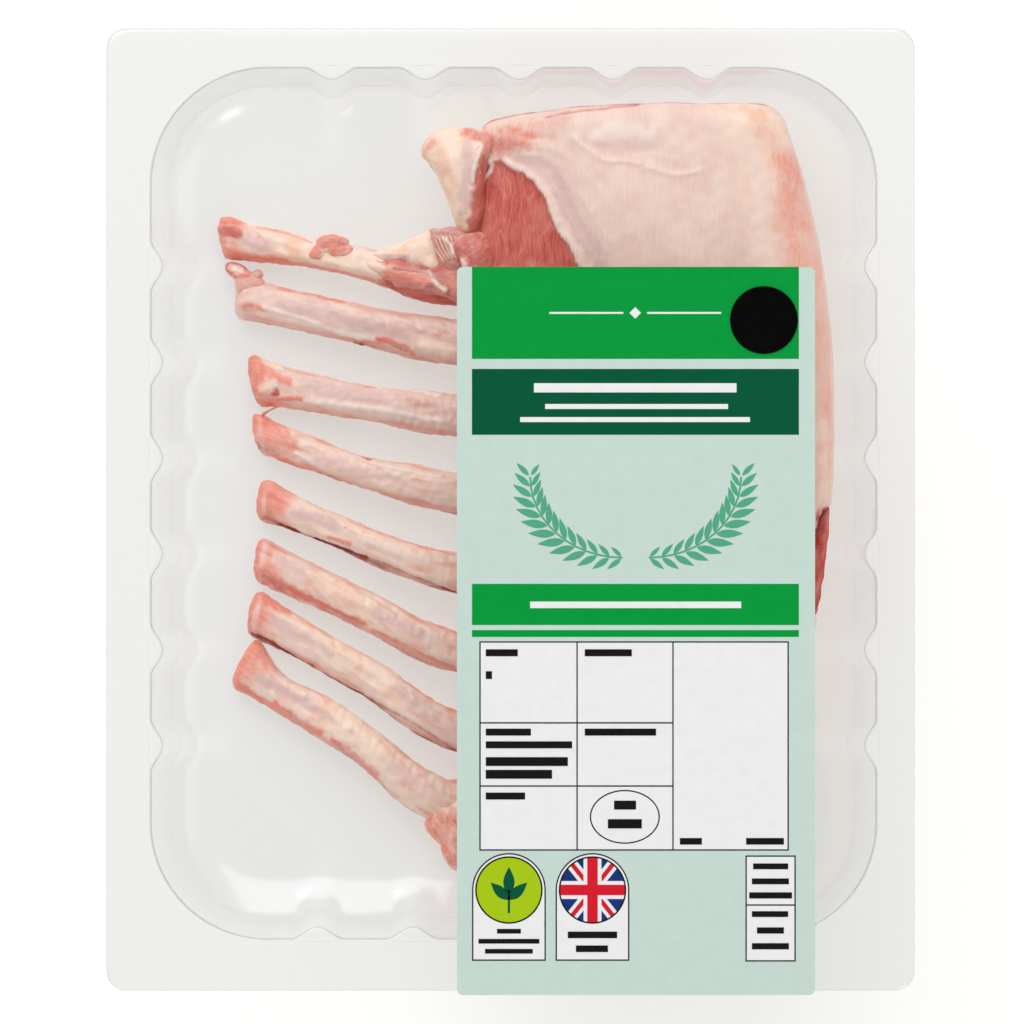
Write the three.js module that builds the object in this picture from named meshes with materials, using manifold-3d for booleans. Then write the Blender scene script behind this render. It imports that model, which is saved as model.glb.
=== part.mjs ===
// A sealed retail pack of lamb: a clear fluted tray, the clear film over it, a paper label with a
// round sticker, and the French trimmed rack that lies inside with its loin up.
//
// Millimetres, +Z up.  The pack lies flat on its tray.  Its length runs along Y and its width along X.
// Every outline below is measured from the middle of the tray's flange.  The whole pack is then moved
// along Y by half of what the label hangs over the flange, so the origin is the middle of the footprint.
import * as THREE from "three";
import { mergeVertices } from "three/addons/utils/BufferGeometryUtils.js";
import Module from "manifold-3d";

const wasm = await Module();
wasm.setup();

// ---------------------------------------------------------------- driving dimensions

const FLANGE = { width: 210, length: 250, radius: 5 };
const WELL = { width: 187.8, length: 225.7, radius: 30, centreX: 0.8, centreY: 1.55 };
const TRAY_HEIGHT = 45;
const TRAY_WALL = 0.8;
const WALL_DRAFT = 4;
const FOOT_RADIUS = 12.5;
const FLUTE = { width: 13, depth: 3 };

// How finely the tray's curves are cut: points across a flute, in parts of its width, steps round a
// corner of the well, of the flange and of the label, and the turns of the foot in degrees.
const FLUTE_SAMPLES = [-0.5, -0.25, 0, 0.25, 0.5];
const WELL_CORNER_STEPS = 7;
const FLANGE_CORNER_STEPS = 5;
const LABEL_CORNER_STEPS = 3;
const FOOT_TURNS = [30, 60, 90];

// The flutes of the four sides, in the order right, top, left, bottom.
const FLUTE_ROWS = [
  { turn: 0, count: 6, pitch: 24.9, middle: 0.95 },
  { turn: 1, count: 5, pitch: 24.4, middle: 2.2 },
  { turn: 2, count: 6, pitch: 24.9, middle: 0.95 },
  { turn: 3, count: 5, pitch: 24.7, middle: -0.65 },
];

const LAYER_GAP = 0.1;
const FILM_THICKNESS = 0.2;
const PAPER_THICKNESS = 0.2;
const LABEL = { left: -13.9, right: 79.1, bottom: -126.1, top: 63, radius: 1.5 };
const STICKER = { x: 65.8, y: 49.2, radius: 8.8, sides: 40 };

const CUT_GAP = 0.3;
const CLEAR_OF_FLOOR = 0.4;
const REST_HEIGHT = TRAY_WALL + CLEAR_OF_FLOOR;
const MERGE_DISTANCE = 1e-3;

// Rib bones: where the sawn tip is, one point halfway, the root at the edge of the meat, the widths
// at those three points, and how far the saw cut slants along the bone from one side to the other.
const RIBS = [
  { tip: [-75.7, 71.3], middle: [-44, 65.5], root: [-14, 58.5], widths: [11.5, 7.6, 11], slant: 3.4 },
  { tip: [-71.8, 55.4], middle: [-40, 48.6], root: [-14, 43.6], widths: [10.2, 10.2, 12], slant: 1.3 },
  { tip: [-67.8, 33.6], middle: [-40, 28.2], root: [-14, 24.5], widths: [12, 9.2, 11], slant: 5.4 },
  { tip: [-66.8, 20.4], middle: [-40, 10.4], root: [-14, 4.4], widths: [9.6, 8.2, 11], slant: 6 },
  { tip: [-65.8, 3.2], middle: [-40, -8], root: [-14, -16.6], widths: [10.6, 8.2, 10.4], slant: 3 },
  { tip: [-66.5, -12.6], middle: [-38, -26.2], root: [-14, -37.4], widths: [11, 9.8, 10], slant: 4 },
  { tip: [-67.9, -26.6], middle: [-38, -43.4], root: [-14, -57.8], widths: [11.4, 9.6, 10.4], slant: 3.6 },
  { tip: [-70.8, -40.4], middle: [-40, -60.4], root: [-17, -76.5], widths: [12, 9.8, 12], slant: 1.3 },
];
const RIB_THICKNESS = 7.6;
const RIB_TIP_SHARE = 0.9;
const RIB_RISE = 6.5;
const RIB_SIDES = 12;
const RIB_STEPS = 11;
const RIB_SQUARENESS = 2.4;
const RIB_SPINE = { x: 64, inset: 8, firstY: 62, pitch: 20.9 };

// The loin: a long block of meat whose right side bows out.  It is thick along the spine, on the
// right, and thins towards the ribs.  Low and high are the heights of its underside and its top.
// Its top swells round one place and has slow waves on it.  Its upper end slopes back to the left of
// slopeFrom, over slopeRun.
const LOIN = {
  top: 105.6,
  bottom: -97,
  left: -9,
  bowCentre: 28,
  bowRight: 84.5,
  bowTop: 0.0024,
  bowBottom: 0.0015,
  lowLeft: 10,
  highLeft: 29,
  lowRight: 3.4,
  highRight: 41,
  swellCentre: 10,
  swellReach: 100,
  swellLoss: 0.08,
  endRound: 5,
  endTurns: [45, 90],
  endDrop: 0.7,
  endSlope: 5,
  slopeFrom: 34,
  slopeRun: 43,
};
const LOIN_WAVES = { height: 1.2, length: 17, crossLength: 31, turn: 2, crossTurn: 3 };
const LOIN_SIDES = 28;
const LOIN_STEPS = 15;
const LOIN_SQUARENESS = 2.7;

// Flesh left at the roots of the first and the last rib, and the fat at the loin's top left corner.
// Each runs from one point to another, with its width and height at either end.
const FIRST_ROOT = { from: [-35, 62.5, 13], to: [-2, 64, 16], sizeFrom: [9, 8], sizeTo: [23, 17] };
const LAST_ROOT = { from: [-26, -75, 12], to: [0, -86, 15], sizeFrom: [12, 10], sizeTo: [27, 21] };
const FAT_FLAP = { from: [-14.5, 99.5, 18], to: [-7.5, 69, 14], sizeFrom: [17, 22], sizeTo: [11, 15] };
const FLESH_SIDES = 14;
const FLESH_STEPS = 7;
const FLESH_SQUARENESS = 2.2;
const FLESH_END_SHARE = 0.45;

// ---------------------------------------------------------------- materials

function finish(colour, roughness) {
  return new THREE.MeshStandardMaterial({ color: colour, roughness, metalness: 0 });
}

function clearPlastic() {
  const material = finish(0xe4e3e0, 0.12);
  material.transparent = true;
  material.opacity = 0.35;
  return material;
}

function filmPlastic() {
  const material = finish(0xf2f2f2, 0.06);
  material.transparent = true;
  material.opacity = 0.15;
  return material;
}

function mintPaper() {
  return finish(0xc7dbd2, 0.55);
}

function blackPaper() {
  return finish(0x0b0b0b, 0.45);
}

function meat() {
  return finish(0xdcb3a8, 0.4);
}

function bone() {
  return finish(0xe0bfb3, 0.42);
}

function fat() {
  return finish(0xf0d5c2, 0.45);
}

// ---------------------------------------------------------------- small tools

function clamp01(value) {
  return Math.min(1, Math.max(0, value));
}

function addTriangle(list, a, b, c) {
  list.push(a.x, a.y, a.z, b.x, b.y, b.z, c.x, c.y, c.z);
}

function geometryOf(list) {
  const geometry = new THREE.BufferGeometry();
  geometry.setAttribute("position", new THREE.Float32BufferAttribute(list, 3));
  geometry.computeVertexNormals();
  return geometry;
}

function namedMesh(name, geometry, material) {
  const mesh = new THREE.Mesh(geometry, material);
  mesh.name = name;
  return mesh;
}

// A strip of quads from one closed ring of points to the next.  It faces the side on the left of
// the way from the first ring to the second, or the other side when turned.
function addStrip(list, first, second, turned) {
  const count = first.length;
  for (let i = 0; i < count; i += 1) {
    const j = (i + 1) % count;
    const [a, b, c, d] = [first[i], first[j], second[j], second[i]];
    if (turned) {
      addTriangle(list, a, c, b);
      addTriangle(list, a, d, c);
    } else {
      addTriangle(list, a, b, c);
      addTriangle(list, a, c, d);
    }
  }
}

// A flat face inside one closed ring, with an optional ring-shaped hole, at one height.
function addFace(list, outline, hole, z, faceUp) {
  const points = hole ? outline.concat(hole) : outline;
  const faces = THREE.ShapeUtils.triangulateShape(outline, hole ? [hole] : []);
  for (const [i, j, k] of faces) {
    const [a, b, c] = [points[i], points[j], points[k]];
    const area = (b.x - a.x) * (c.y - a.y) - (c.x - a.x) * (b.y - a.y);
    const [p, q, r] = [a, b, c].map((point) => new THREE.Vector3(point.x, point.y, z));
    if (area > 0 === faceUp) addTriangle(list, p, q, r);
    else addTriangle(list, p, r, q);
  }
}

function centroid(ring) {
  const sum = ring.reduce((total, point) => total.add(point), new THREE.Vector3());
  return sum.divideScalar(ring.length);
}

// A closed body carried through a row of rings, each end closed by a fan.
function loft(rings) {
  const list = [];
  for (let k = 0; k + 1 < rings.length; k += 1) addStrip(list, rings[k], rings[k + 1], false);
  const [first, last] = [rings[0], rings[rings.length - 1]];
  const [start, end] = [centroid(first), centroid(last)];
  for (let i = 0; i < first.length; i += 1) {
    const j = (i + 1) % first.length;
    addTriangle(list, start, first[j], first[i]);
    addTriangle(list, end, last[i], last[j]);
  }
  return geometryOf(list);
}

function solidOf(geometry) {
  const bare = geometry.clone();
  bare.deleteAttribute("normal");
  bare.deleteAttribute("uv");
  const merged = mergeVertices(bare, MERGE_DISTANCE);
  const vertProperties = merged.attributes.position.array;
  const triVerts = new Uint32Array(merged.index.array);
  return new wasm.Manifold(new wasm.Mesh({ numProp: 3, vertProperties, triVerts }));
}

function geometryFrom(solid) {
  const mesh = solid.getMesh();
  const geometry = new THREE.BufferGeometry();
  geometry.setAttribute("position", new THREE.Float32BufferAttribute(mesh.vertProperties, 3));
  geometry.setIndex(new THREE.Uint32BufferAttribute(mesh.triVerts, 1));
  const loose = geometry.toNonIndexed();
  loose.computeVertexNormals();
  return loose;
}

// A point on a squarish ellipse with half axes of 1: x to the right, y up.
function squareEllipse(angle, squareness) {
  const power = 2 / squareness;
  const [c, s] = [Math.cos(angle), Math.sin(angle)];
  return [Math.sign(c) * Math.abs(c) ** power, Math.sign(s) * Math.abs(s) ** power];
}

// ---------------------------------------------------------------- tray

// A rounded rectangle, anticlockwise from the lower end of its right side.
function roundedRectangle(left, right, bottom, top, radius, steps) {
  const corners = [
    [right - radius, top - radius],
    [left + radius, top - radius],
    [left + radius, bottom + radius],
    [right - radius, bottom + radius],
  ];
  return corners.flatMap(([x, y], quarter) =>
    Array.from({ length: steps + 1 }, (_, i) => {
      const angle = (quarter + i / steps) * (Math.PI / 2);
      return new THREE.Vector2(x + radius * Math.cos(angle), y + radius * Math.sin(angle));
    }),
  );
}

// Points round the well's mouth, anticlockwise, each with its inward direction and with how much of
// a flute's depth it takes: a raised cosine across each flute, and nothing at the corners.
function wellStations() {
  const stations = [];
  for (const row of FLUTE_ROWS) {
    const angle = (row.turn * Math.PI) / 2;
    const out = new THREE.Vector2(Math.round(Math.cos(angle)), Math.round(Math.sin(angle)));
    const along = new THREE.Vector2(-out.y, out.x);
    const centre = new THREE.Vector2(WELL.centreX, WELL.centreY);
    const across = row.turn % 2 ? WELL.length / 2 : WELL.width / 2;
    const halfRun = row.turn % 2 ? WELL.width / 2 : WELL.length / 2;
    const line = centre.clone().multiply(new THREE.Vector2(Math.abs(out.x), Math.abs(out.y)));
    line.addScaledVector(out, across);
    for (let k = 0; k < row.count; k += 1) {
      for (const sample of FLUTE_SAMPLES) {
        const step = (k - (row.count - 1) / 2) * row.pitch + sample * FLUTE.width;
        const place = row.middle * (along.x + along.y) + step;
        const point = line.clone().addScaledVector(along, place);
        const weight = 0.5 + 0.5 * Math.cos(2 * Math.PI * sample);
        stations.push({ point, inward: out.clone().negate(), weight });
      }
    }
    const pivot = centre.clone();
    pivot.addScaledVector(out, across - WELL.radius);
    pivot.addScaledVector(along, halfRun - WELL.radius);
    for (let i = 0; i <= WELL_CORNER_STEPS; i += 1) {
      const arc = angle + (i / WELL_CORNER_STEPS) * (Math.PI / 2);
      const away = new THREE.Vector2(Math.cos(arc), Math.sin(arc));
      const point = pivot.clone().addScaledVector(away, WELL.radius);
      stations.push({ point, inward: away.negate(), weight: 0 });
    }
  }
  return stations;
}

function wellRing(stations, inset, flute, z) {
  return stations.map(({ point, inward, weight }) => {
    const moved = point.clone().addScaledVector(inward, inset + flute * weight);
    return new THREE.Vector3(moved.x, moved.y, z);
  });
}

// The wall leans in by its draft, then turns through a quarter circle into the floor, where the
// flutes run out.  Shift moves the whole profile out and down by the wall, for the outer skin.
function wellRings(stations, shift) {
  const footTop = TRAY_WALL + FOOT_RADIUS;
  const wall = [
    { inset: 0, z: TRAY_HEIGHT, flute: FLUTE.depth },
    { inset: WALL_DRAFT, z: footTop, flute: FLUTE.depth },
  ];
  const foot = FOOT_TURNS.map((degrees) => {
    const turn = THREE.MathUtils.degToRad(degrees);
    const inset = WALL_DRAFT + FOOT_RADIUS * (1 - Math.cos(turn));
    const z = footTop - FOOT_RADIUS * Math.sin(turn);
    return { inset, z, flute: FLUTE.depth * Math.cos(turn) };
  });
  return wall
    .concat(foot)
    .map(({ inset, z, flute }) => wellRing(stations, inset - shift, flute, z - shift));
}

function flatten(ring) {
  return ring.map(({ x, y }) => new THREE.Vector2(x, y));
}

function trayGeometry() {
  const stations = wellStations();
  const inner = wellRings(stations, 0);
  const outer = wellRings(stations, TRAY_WALL);
  const rim = roundedRectangle(
    -FLANGE.width / 2,
    FLANGE.width / 2,
    -FLANGE.length / 2,
    FLANGE.length / 2,
    FLANGE.radius,
    FLANGE_CORNER_STEPS,
  );
  const underFlange = TRAY_HEIGHT - TRAY_WALL;
  const list = [];
  for (let k = 0; k + 1 < inner.length; k += 1) {
    addStrip(list, inner[k], inner[k + 1], false);
    addStrip(list, outer[k], outer[k + 1], true);
  }
  addFace(list, flatten(inner[inner.length - 1]), null, TRAY_WALL, true);
  addFace(list, flatten(outer[outer.length - 1]), null, 0, false);
  addFace(list, rim, flatten(inner[0]), TRAY_HEIGHT, true);
  addFace(list, rim, flatten(outer[0]), underFlange, false);
  const rimTop = rim.map(({ x, y }) => new THREE.Vector3(x, y, TRAY_HEIGHT));
  const rimBottom = rim.map(({ x, y }) => new THREE.Vector3(x, y, underFlange));
  addStrip(list, rimBottom, rimTop, false);
  return geometryOf(list);
}

// ---------------------------------------------------------------- film, label and sticker

function sheetGeometry(outline, bottom, thickness) {
  const list = [];
  addFace(list, outline, null, bottom + thickness, true);
  addFace(list, outline, null, bottom, false);
  const low = outline.map(({ x, y }) => new THREE.Vector3(x, y, bottom));
  const high = outline.map(({ x, y }) => new THREE.Vector3(x, y, bottom + thickness));
  addStrip(list, low, high, false);
  return geometryOf(list);
}

function filmGeometry(bottom) {
  const [x, y] = [FLANGE.width / 2, FLANGE.length / 2];
  const outline = roundedRectangle(-x, x, -y, y, FLANGE.radius, FLANGE_CORNER_STEPS);
  return sheetGeometry(outline, bottom, FILM_THICKNESS);
}

function labelGeometry(bottom) {
  const { left, right, bottom: low, top, radius } = LABEL;
  const outline = roundedRectangle(left, right, low, top, radius, LABEL_CORNER_STEPS);
  return sheetGeometry(outline, bottom, PAPER_THICKNESS);
}

function stickerGeometry(bottom) {
  const { radius, sides } = STICKER;
  const disc = new THREE.CylinderGeometry(radius, radius, PAPER_THICKNESS, sides);
  disc.rotateX(Math.PI / 2);
  disc.translate(STICKER.x, STICKER.y, bottom + PAPER_THICKNESS / 2);
  return disc;
}

// ---------------------------------------------------------------- ribs

// The bone's middle line.  In plan it is a smooth curve through the tip, the halfway point, the root
// and the spine.  It rises as half a sine wave from the floor to the flank and back down.
function ribLine(rib, index) {
  const halfway = (RIBS.length - 1) / 2;
  const spineX = RIB_SPINE.x - RIB_SPINE.inset * ((index - halfway) / halfway) ** 2;
  const spineY = RIB_SPINE.firstY - RIB_SPINE.pitch * index;
  const plan = [rib.tip, rib.middle, rib.root, [spineX, spineY]];
  const level = REST_HEIGHT + RIB_THICKNESS / 2;
  const points = plan.map(([x, y]) => {
    const part = (x - rib.tip[0]) / (spineX - rib.tip[0]);
    return new THREE.Vector3(x, y, level + RIB_RISE * Math.sin(Math.PI * part));
  });
  return new THREE.CatmullRomCurve3(points, false, "centripetal");
}

// Width along the bone: it flares at the sawn tip, is narrowest halfway and widens to the root.
function ribWidth(rib, x) {
  const [tip, middle, root] = rib.widths;
  if (x < rib.middle[0]) {
    const part = (x - rib.tip[0]) / (rib.middle[0] - rib.tip[0]);
    return middle + (tip - middle) * (1 - part) ** 2;
  }
  const part = clamp01((x - rib.middle[0]) / (rib.root[0] - rib.middle[0]));
  return THREE.MathUtils.lerp(middle, root, part * part * (3 - 2 * part));
}

// A flat oval section carried along the bone.  Grow thickens it on all sides and lengthens it.
function ribGeometry(rib, index, grow) {
  const line = ribLine(rib, index);
  const rings = [];
  for (let k = 0; k <= RIB_STEPS; k += 1) {
    const part = k / RIB_STEPS;
    const centre = line.getPoint(part);
    const ahead = line.getTangent(part);
    if (k === 0) centre.addScaledVector(ahead, -grow);
    if (k === RIB_STEPS) centre.addScaledVector(ahead, grow);
    const side = new THREE.Vector3(ahead.y, -ahead.x, 0).normalize();
    const up = side.clone().cross(ahead).normalize();
    const half = ribWidth(rib, centre.x) / 2 + grow;
    const rise = (RIB_THICKNESS / 2) * (k === 0 ? RIB_TIP_SHARE : 1) + grow;
    rings.push(
      Array.from({ length: RIB_SIDES }, (_, i) => {
        const [c, s] = squareEllipse((-2 * Math.PI * i) / RIB_SIDES, RIB_SQUARENESS);
        const point = centre.clone().addScaledVector(side, half * c);
        if (k === 0) point.addScaledVector(ahead, (rib.slant * c) / 2);
        return point.addScaledVector(up, rise * s);
      }),
    );
  }
  return loft(rings);
}

// ---------------------------------------------------------------- loin and flesh

function loinRight(y) {
  const bow = y > LOIN.bowCentre ? LOIN.bowTop : LOIN.bowBottom;
  return LOIN.bowRight - bow * (y - LOIN.bowCentre) ** 2;
}

// Two slow waves along the loin, each turned a little across it.
function loinWave(y, c) {
  const { height, length, crossLength, turn, crossTurn } = LOIN_WAVES;
  return height * Math.sin(y / length + turn * c) * Math.cos(y / crossLength - crossTurn * c);
}

// Squarish oval sections across the loin.  The last few at each end shrink through a quarter circle,
// and the upper end slopes back towards its left corner.  Grow adds to every side.
function loinGeometry(grow) {
  const length = LOIN.top - LOIN.bottom;
  const places = [];
  for (let k = 0; k <= LOIN_STEPS; k += 1) {
    const part = k / LOIN_STEPS;
    const run = LOIN.endRound + (length - 2 * LOIN.endRound) * part;
    places.push({ y: LOIN.bottom + run, shrink: 0 });
  }
  for (const turn of LOIN.endTurns) {
    const angle = THREE.MathUtils.degToRad(turn);
    const reach = LOIN.endRound * Math.sin(angle) + (turn === 90 ? grow : 0);
    const shrink = LOIN.endRound * (1 - Math.cos(angle));
    places.push({ y: LOIN.top - LOIN.endRound + reach, shrink });
    places.unshift({ y: LOIN.bottom + LOIN.endRound - reach, shrink });
  }
  const rings = places.map(({ y, shrink }) => {
    const [left, right] = [LOIN.left + shrink, loinRight(y) - shrink];
    const swell = 1 - LOIN.swellLoss * ((y - LOIN.swellCentre) / LOIN.swellReach) ** 2;
    const half = (right - left) / 2 + grow;
    const middle = (left + right) / 2;
    const upper = clamp01((y - LOIN.bottom) / length);
    return Array.from({ length: LOIN_SIDES }, (_, i) => {
      const [c, s] = squareEllipse((-2 * Math.PI * i) / LOIN_SIDES, LOIN_SQUARENESS);
      const x = middle + half * c;
      const across = (c + 1) / 2;
      const low = THREE.MathUtils.lerp(LOIN.lowLeft, LOIN.lowRight, across);
      const crown = THREE.MathUtils.lerp(LOIN.highLeft, LOIN.highRight, across) * swell;
      const high = crown + loinWave(y, c);
      const rise = (high - low) / 2 - shrink * LOIN.endDrop + grow;
      const back = LOIN.endSlope * upper * clamp01((LOIN.slopeFrom - x) / LOIN.slopeRun) ** 2;
      return new THREE.Vector3(x, y - back, (low + high) / 2 + rise * s);
    });
  });
  return loft(rings);
}

// Flesh or fat that swells along a straight line.  Its section is a squarish oval whose width and
// height pass from the first pair of sizes to the second, with both ends drawn in.
function fleshGeometry({ from, to, sizeFrom, sizeTo }, grow) {
  const [start, end] = [new THREE.Vector3(...from), new THREE.Vector3(...to)];
  const ahead = end.clone().sub(start).normalize();
  const side = new THREE.Vector3(ahead.y, -ahead.x, 0).normalize();
  const up = side.clone().cross(ahead).normalize();
  start.addScaledVector(ahead, -grow);
  end.addScaledVector(ahead, grow);
  const rings = [];
  for (let k = 0; k <= FLESH_STEPS; k += 1) {
    const part = k / FLESH_STEPS;
    const centre = start.clone().lerp(end, part);
    const swell = Math.sqrt(Math.sin(Math.PI * part));
    const drawn = THREE.MathUtils.lerp(FLESH_END_SHARE, 1, swell);
    const [width, height] = sizeFrom.map(
      (size, i) => THREE.MathUtils.lerp(size, sizeTo[i], part) * drawn,
    );
    rings.push(
      Array.from({ length: FLESH_SIDES }, (_, i) => {
        const [c, s] = squareEllipse((-2 * Math.PI * i) / FLESH_SIDES, FLESH_SQUARENESS);
        const point = centre.clone().addScaledVector(side, (width / 2 + grow) * c);
        return point.addScaledVector(up, (height / 2 + grow) * s);
      }),
    );
  }
  return loft(rings);
}

function loinWithRoots(grow) {
  const roots = [FIRST_ROOT, LAST_ROOT].map((root) => solidOf(fleshGeometry(root, grow)));
  return roots.reduce((total, root) => total.add(root), solidOf(loinGeometry(grow)));
}

function lambMeshes() {
  const bones = RIBS.map((rib, index) => solidOf(ribGeometry(rib, index, 0)));
  const sockets = RIBS.map((rib, index) => solidOf(ribGeometry(rib, index, CUT_GAP)));
  const cutByBones = (solid) => sockets.reduce((rest, socket) => rest.subtract(socket), solid);
  const loin = cutByBones(loinWithRoots(0));
  const flap = solidOf(fleshGeometry(FAT_FLAP, 0)).subtract(loinWithRoots(CUT_GAP));
  const ribs = bones.map((solid, index) =>
    namedMesh(`rib_${index + 1}`, geometryFrom(solid), bone()),
  );
  return [
    namedMesh("loin", geometryFrom(loin), meat()),
    namedMesh("fat_flap", geometryFrom(cutByBones(flap)), fat()),
    ...ribs,
  ];
}

// ---------------------------------------------------------------- the whole pack

function buildPack() {
  const filmBottom = TRAY_HEIGHT + LAYER_GAP;
  const labelBottom = filmBottom + FILM_THICKNESS + LAYER_GAP;
  const stickerBottom = labelBottom + PAPER_THICKNESS + LAYER_GAP;
  const pack = new THREE.Group();
  pack.add(namedMesh("tray", trayGeometry(), clearPlastic()));
  pack.add(namedMesh("film", filmGeometry(filmBottom), filmPlastic()));
  pack.add(namedMesh("label", labelGeometry(labelBottom), mintPaper()));
  pack.add(namedMesh("sticker", stickerGeometry(stickerBottom), blackPaper()));
  pack.add(...lambMeshes());
  pack.position.y = (-FLANGE.length / 2 - LABEL.bottom) / 2;
  return pack;
}

const group = buildPack();
export default group;
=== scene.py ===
"""Looks of a sealed retail pack of lamb: a clear fluted tray, the clear film over it, a printed paper
label with a round sticker, and the French trimmed rack that lies inside.

Lengths in the code are millimetres unless a name says otherwise.  Meshes are made in metres."""
import math

import bpy
import numpy as np
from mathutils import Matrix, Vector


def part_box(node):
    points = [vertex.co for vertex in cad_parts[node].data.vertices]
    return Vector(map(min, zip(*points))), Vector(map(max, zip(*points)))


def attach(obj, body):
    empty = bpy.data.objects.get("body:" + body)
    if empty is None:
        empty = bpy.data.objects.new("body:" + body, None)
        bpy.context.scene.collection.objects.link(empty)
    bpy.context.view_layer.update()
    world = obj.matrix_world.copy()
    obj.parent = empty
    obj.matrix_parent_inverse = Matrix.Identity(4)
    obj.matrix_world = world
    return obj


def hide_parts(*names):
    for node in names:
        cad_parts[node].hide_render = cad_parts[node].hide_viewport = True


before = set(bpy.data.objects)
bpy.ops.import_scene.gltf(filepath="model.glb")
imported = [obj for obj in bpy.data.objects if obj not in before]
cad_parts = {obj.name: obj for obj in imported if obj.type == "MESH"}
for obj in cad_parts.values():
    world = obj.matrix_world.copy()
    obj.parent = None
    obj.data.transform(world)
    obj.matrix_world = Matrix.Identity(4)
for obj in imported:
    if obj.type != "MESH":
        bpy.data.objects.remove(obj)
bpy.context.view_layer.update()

bl_info = {
    "name": "Packed rack of lamb",
    "version": (1, 0, 0),
    "blender": (4, 5, 0),
    "location": "3D View > Sidebar > Lamb pack",
    "description": "Builds the looks of a packed rack of lamb round its solids",
    "category": "Object",
}

MM = 0.001
BODY = "root"

# How far the label's overhang moves everything else up in plan.
PACK_SHIFT = 0.55
TURN = 2 * math.pi


# ---------------------------------------------------------------- numbers and curves


def smooth(low, high, value):
    """0 up to low, 1 from high on, and an S-shaped rise between them."""
    part = np.clip((value - low) / (high - low), 0, 1)
    return part * part * (3 - 2 * part)


def between(low, high, part):
    return low + (high - low) * part


def waves(points, size, seed, count=12):
    """Soft unevenness of about -1 to 1: a scaled sum of sine waves of random directions and phases,
    whose lengths lie round the given size."""
    random = np.random.default_rng(seed)
    heading = random.normal(size=(count, points.shape[-1]))
    heading /= np.linalg.norm(heading, axis=1, keepdims=True)
    length = size * random.uniform(0.7, 1.6, count)
    phase = random.uniform(0, TURN, count)
    return np.sin(points @ (TURN * heading / length[:, None]).T + phase).sum(-1) / math.sqrt(2 * count)


def centripetal(points, part):
    """A centripetal Catmull-Rom curve through the points, at parts from 0 to 1 of its spans: a cubic
    on each span, whose end slopes weigh the neighbouring chords by the root of their lengths."""
    points = np.asarray(points, float)
    knots = np.vstack([2 * points[0] - points[1], points, 2 * points[-1] - points[-2]])
    place = np.clip(part, 0, 1) * (len(points) - 1)
    span = np.minimum(place.astype(int), len(points) - 2)
    share = (place - span)[:, None]
    a, b, c, d = (knots[span + k] for k in range(4))
    before, here, after = (
        np.sqrt(np.linalg.norm(end - start, axis=1))[:, None]
        for start, end in ((a, b), (b, c), (c, d))
    )
    leave = ((b - a) / before - (c - a) / (before + here) + (c - b) / here) * here
    arrive = ((c - b) / here - (d - b) / (here + after) + (d - c) / after) * here
    square = 3 * (c - b) - 2 * leave - arrive
    cube = 2 * (b - c) + leave + arrive
    return b + leave * share + square * share**2 + cube * share**3


def run_along(line):
    """Length along a line at each of its points."""
    return np.concatenate([[0], np.cumsum(np.linalg.norm(np.diff(line, axis=0), axis=1))])


def walk(line, place):
    """The points that lie the given lengths along a line."""
    run = run_along(line)
    return np.column_stack([np.interp(place, run, line[:, k]) for k in range(line.shape[1])])


def distance_to(plan, route):
    """Distance in plan from every point to the smooth line through the route's points."""
    route = np.array(route, float)
    if len(route) == 1:
        return np.linalg.norm(plan - route[0], axis=-1)
    if len(route) > 2:
        route = centripetal(route, np.linspace(0, 1, 5 * (len(route) - 1) + 1))
    nearest = np.full(plan.shape[:-1], np.inf)
    for start, end in zip(route[:-1], route[1:]):
        run = end - start
        part = np.clip((plan - start) @ run / (run @ run), 0, 1)
        gap = plan - start - part[..., None] * run
        nearest = np.minimum(nearest, np.hypot(gap[..., 0], gap[..., 1]))
    return nearest


def depth_inside(plan, outline):
    """Distance in plan to a closed outline, positive inside it, where a ray crosses it an odd number
    of times."""
    outline = np.array(outline, float)
    x, y = plan[..., 0], plan[..., 1]
    odd = np.zeros(x.shape, bool)
    nearest = np.full(x.shape, np.inf)
    for start, end in zip(outline, np.roll(outline, -1, axis=0)):
        level = (start[1] > y) != (end[1] > y)
        rise = end[1] - start[1] if end[1] != start[1] else 1
        odd ^= level & (x < start[0] + (end[0] - start[0]) * (y - start[1]) / rise)
        nearest = np.minimum(nearest, distance_to(plan, [start, end]))
    return np.where(odd, nearest, -nearest)


def squarish(angle, squareness):
    """A squarish ellipse with half axes of 1: the cosine and sine, each to the power 2 / squareness."""
    c, s = np.cos(angle), np.sin(angle)
    power = 2 / squareness
    return np.sign(c) * np.abs(c) ** power, np.sign(s) * np.abs(s) ** power


# ---------------------------------------------------------------- meshes


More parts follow.
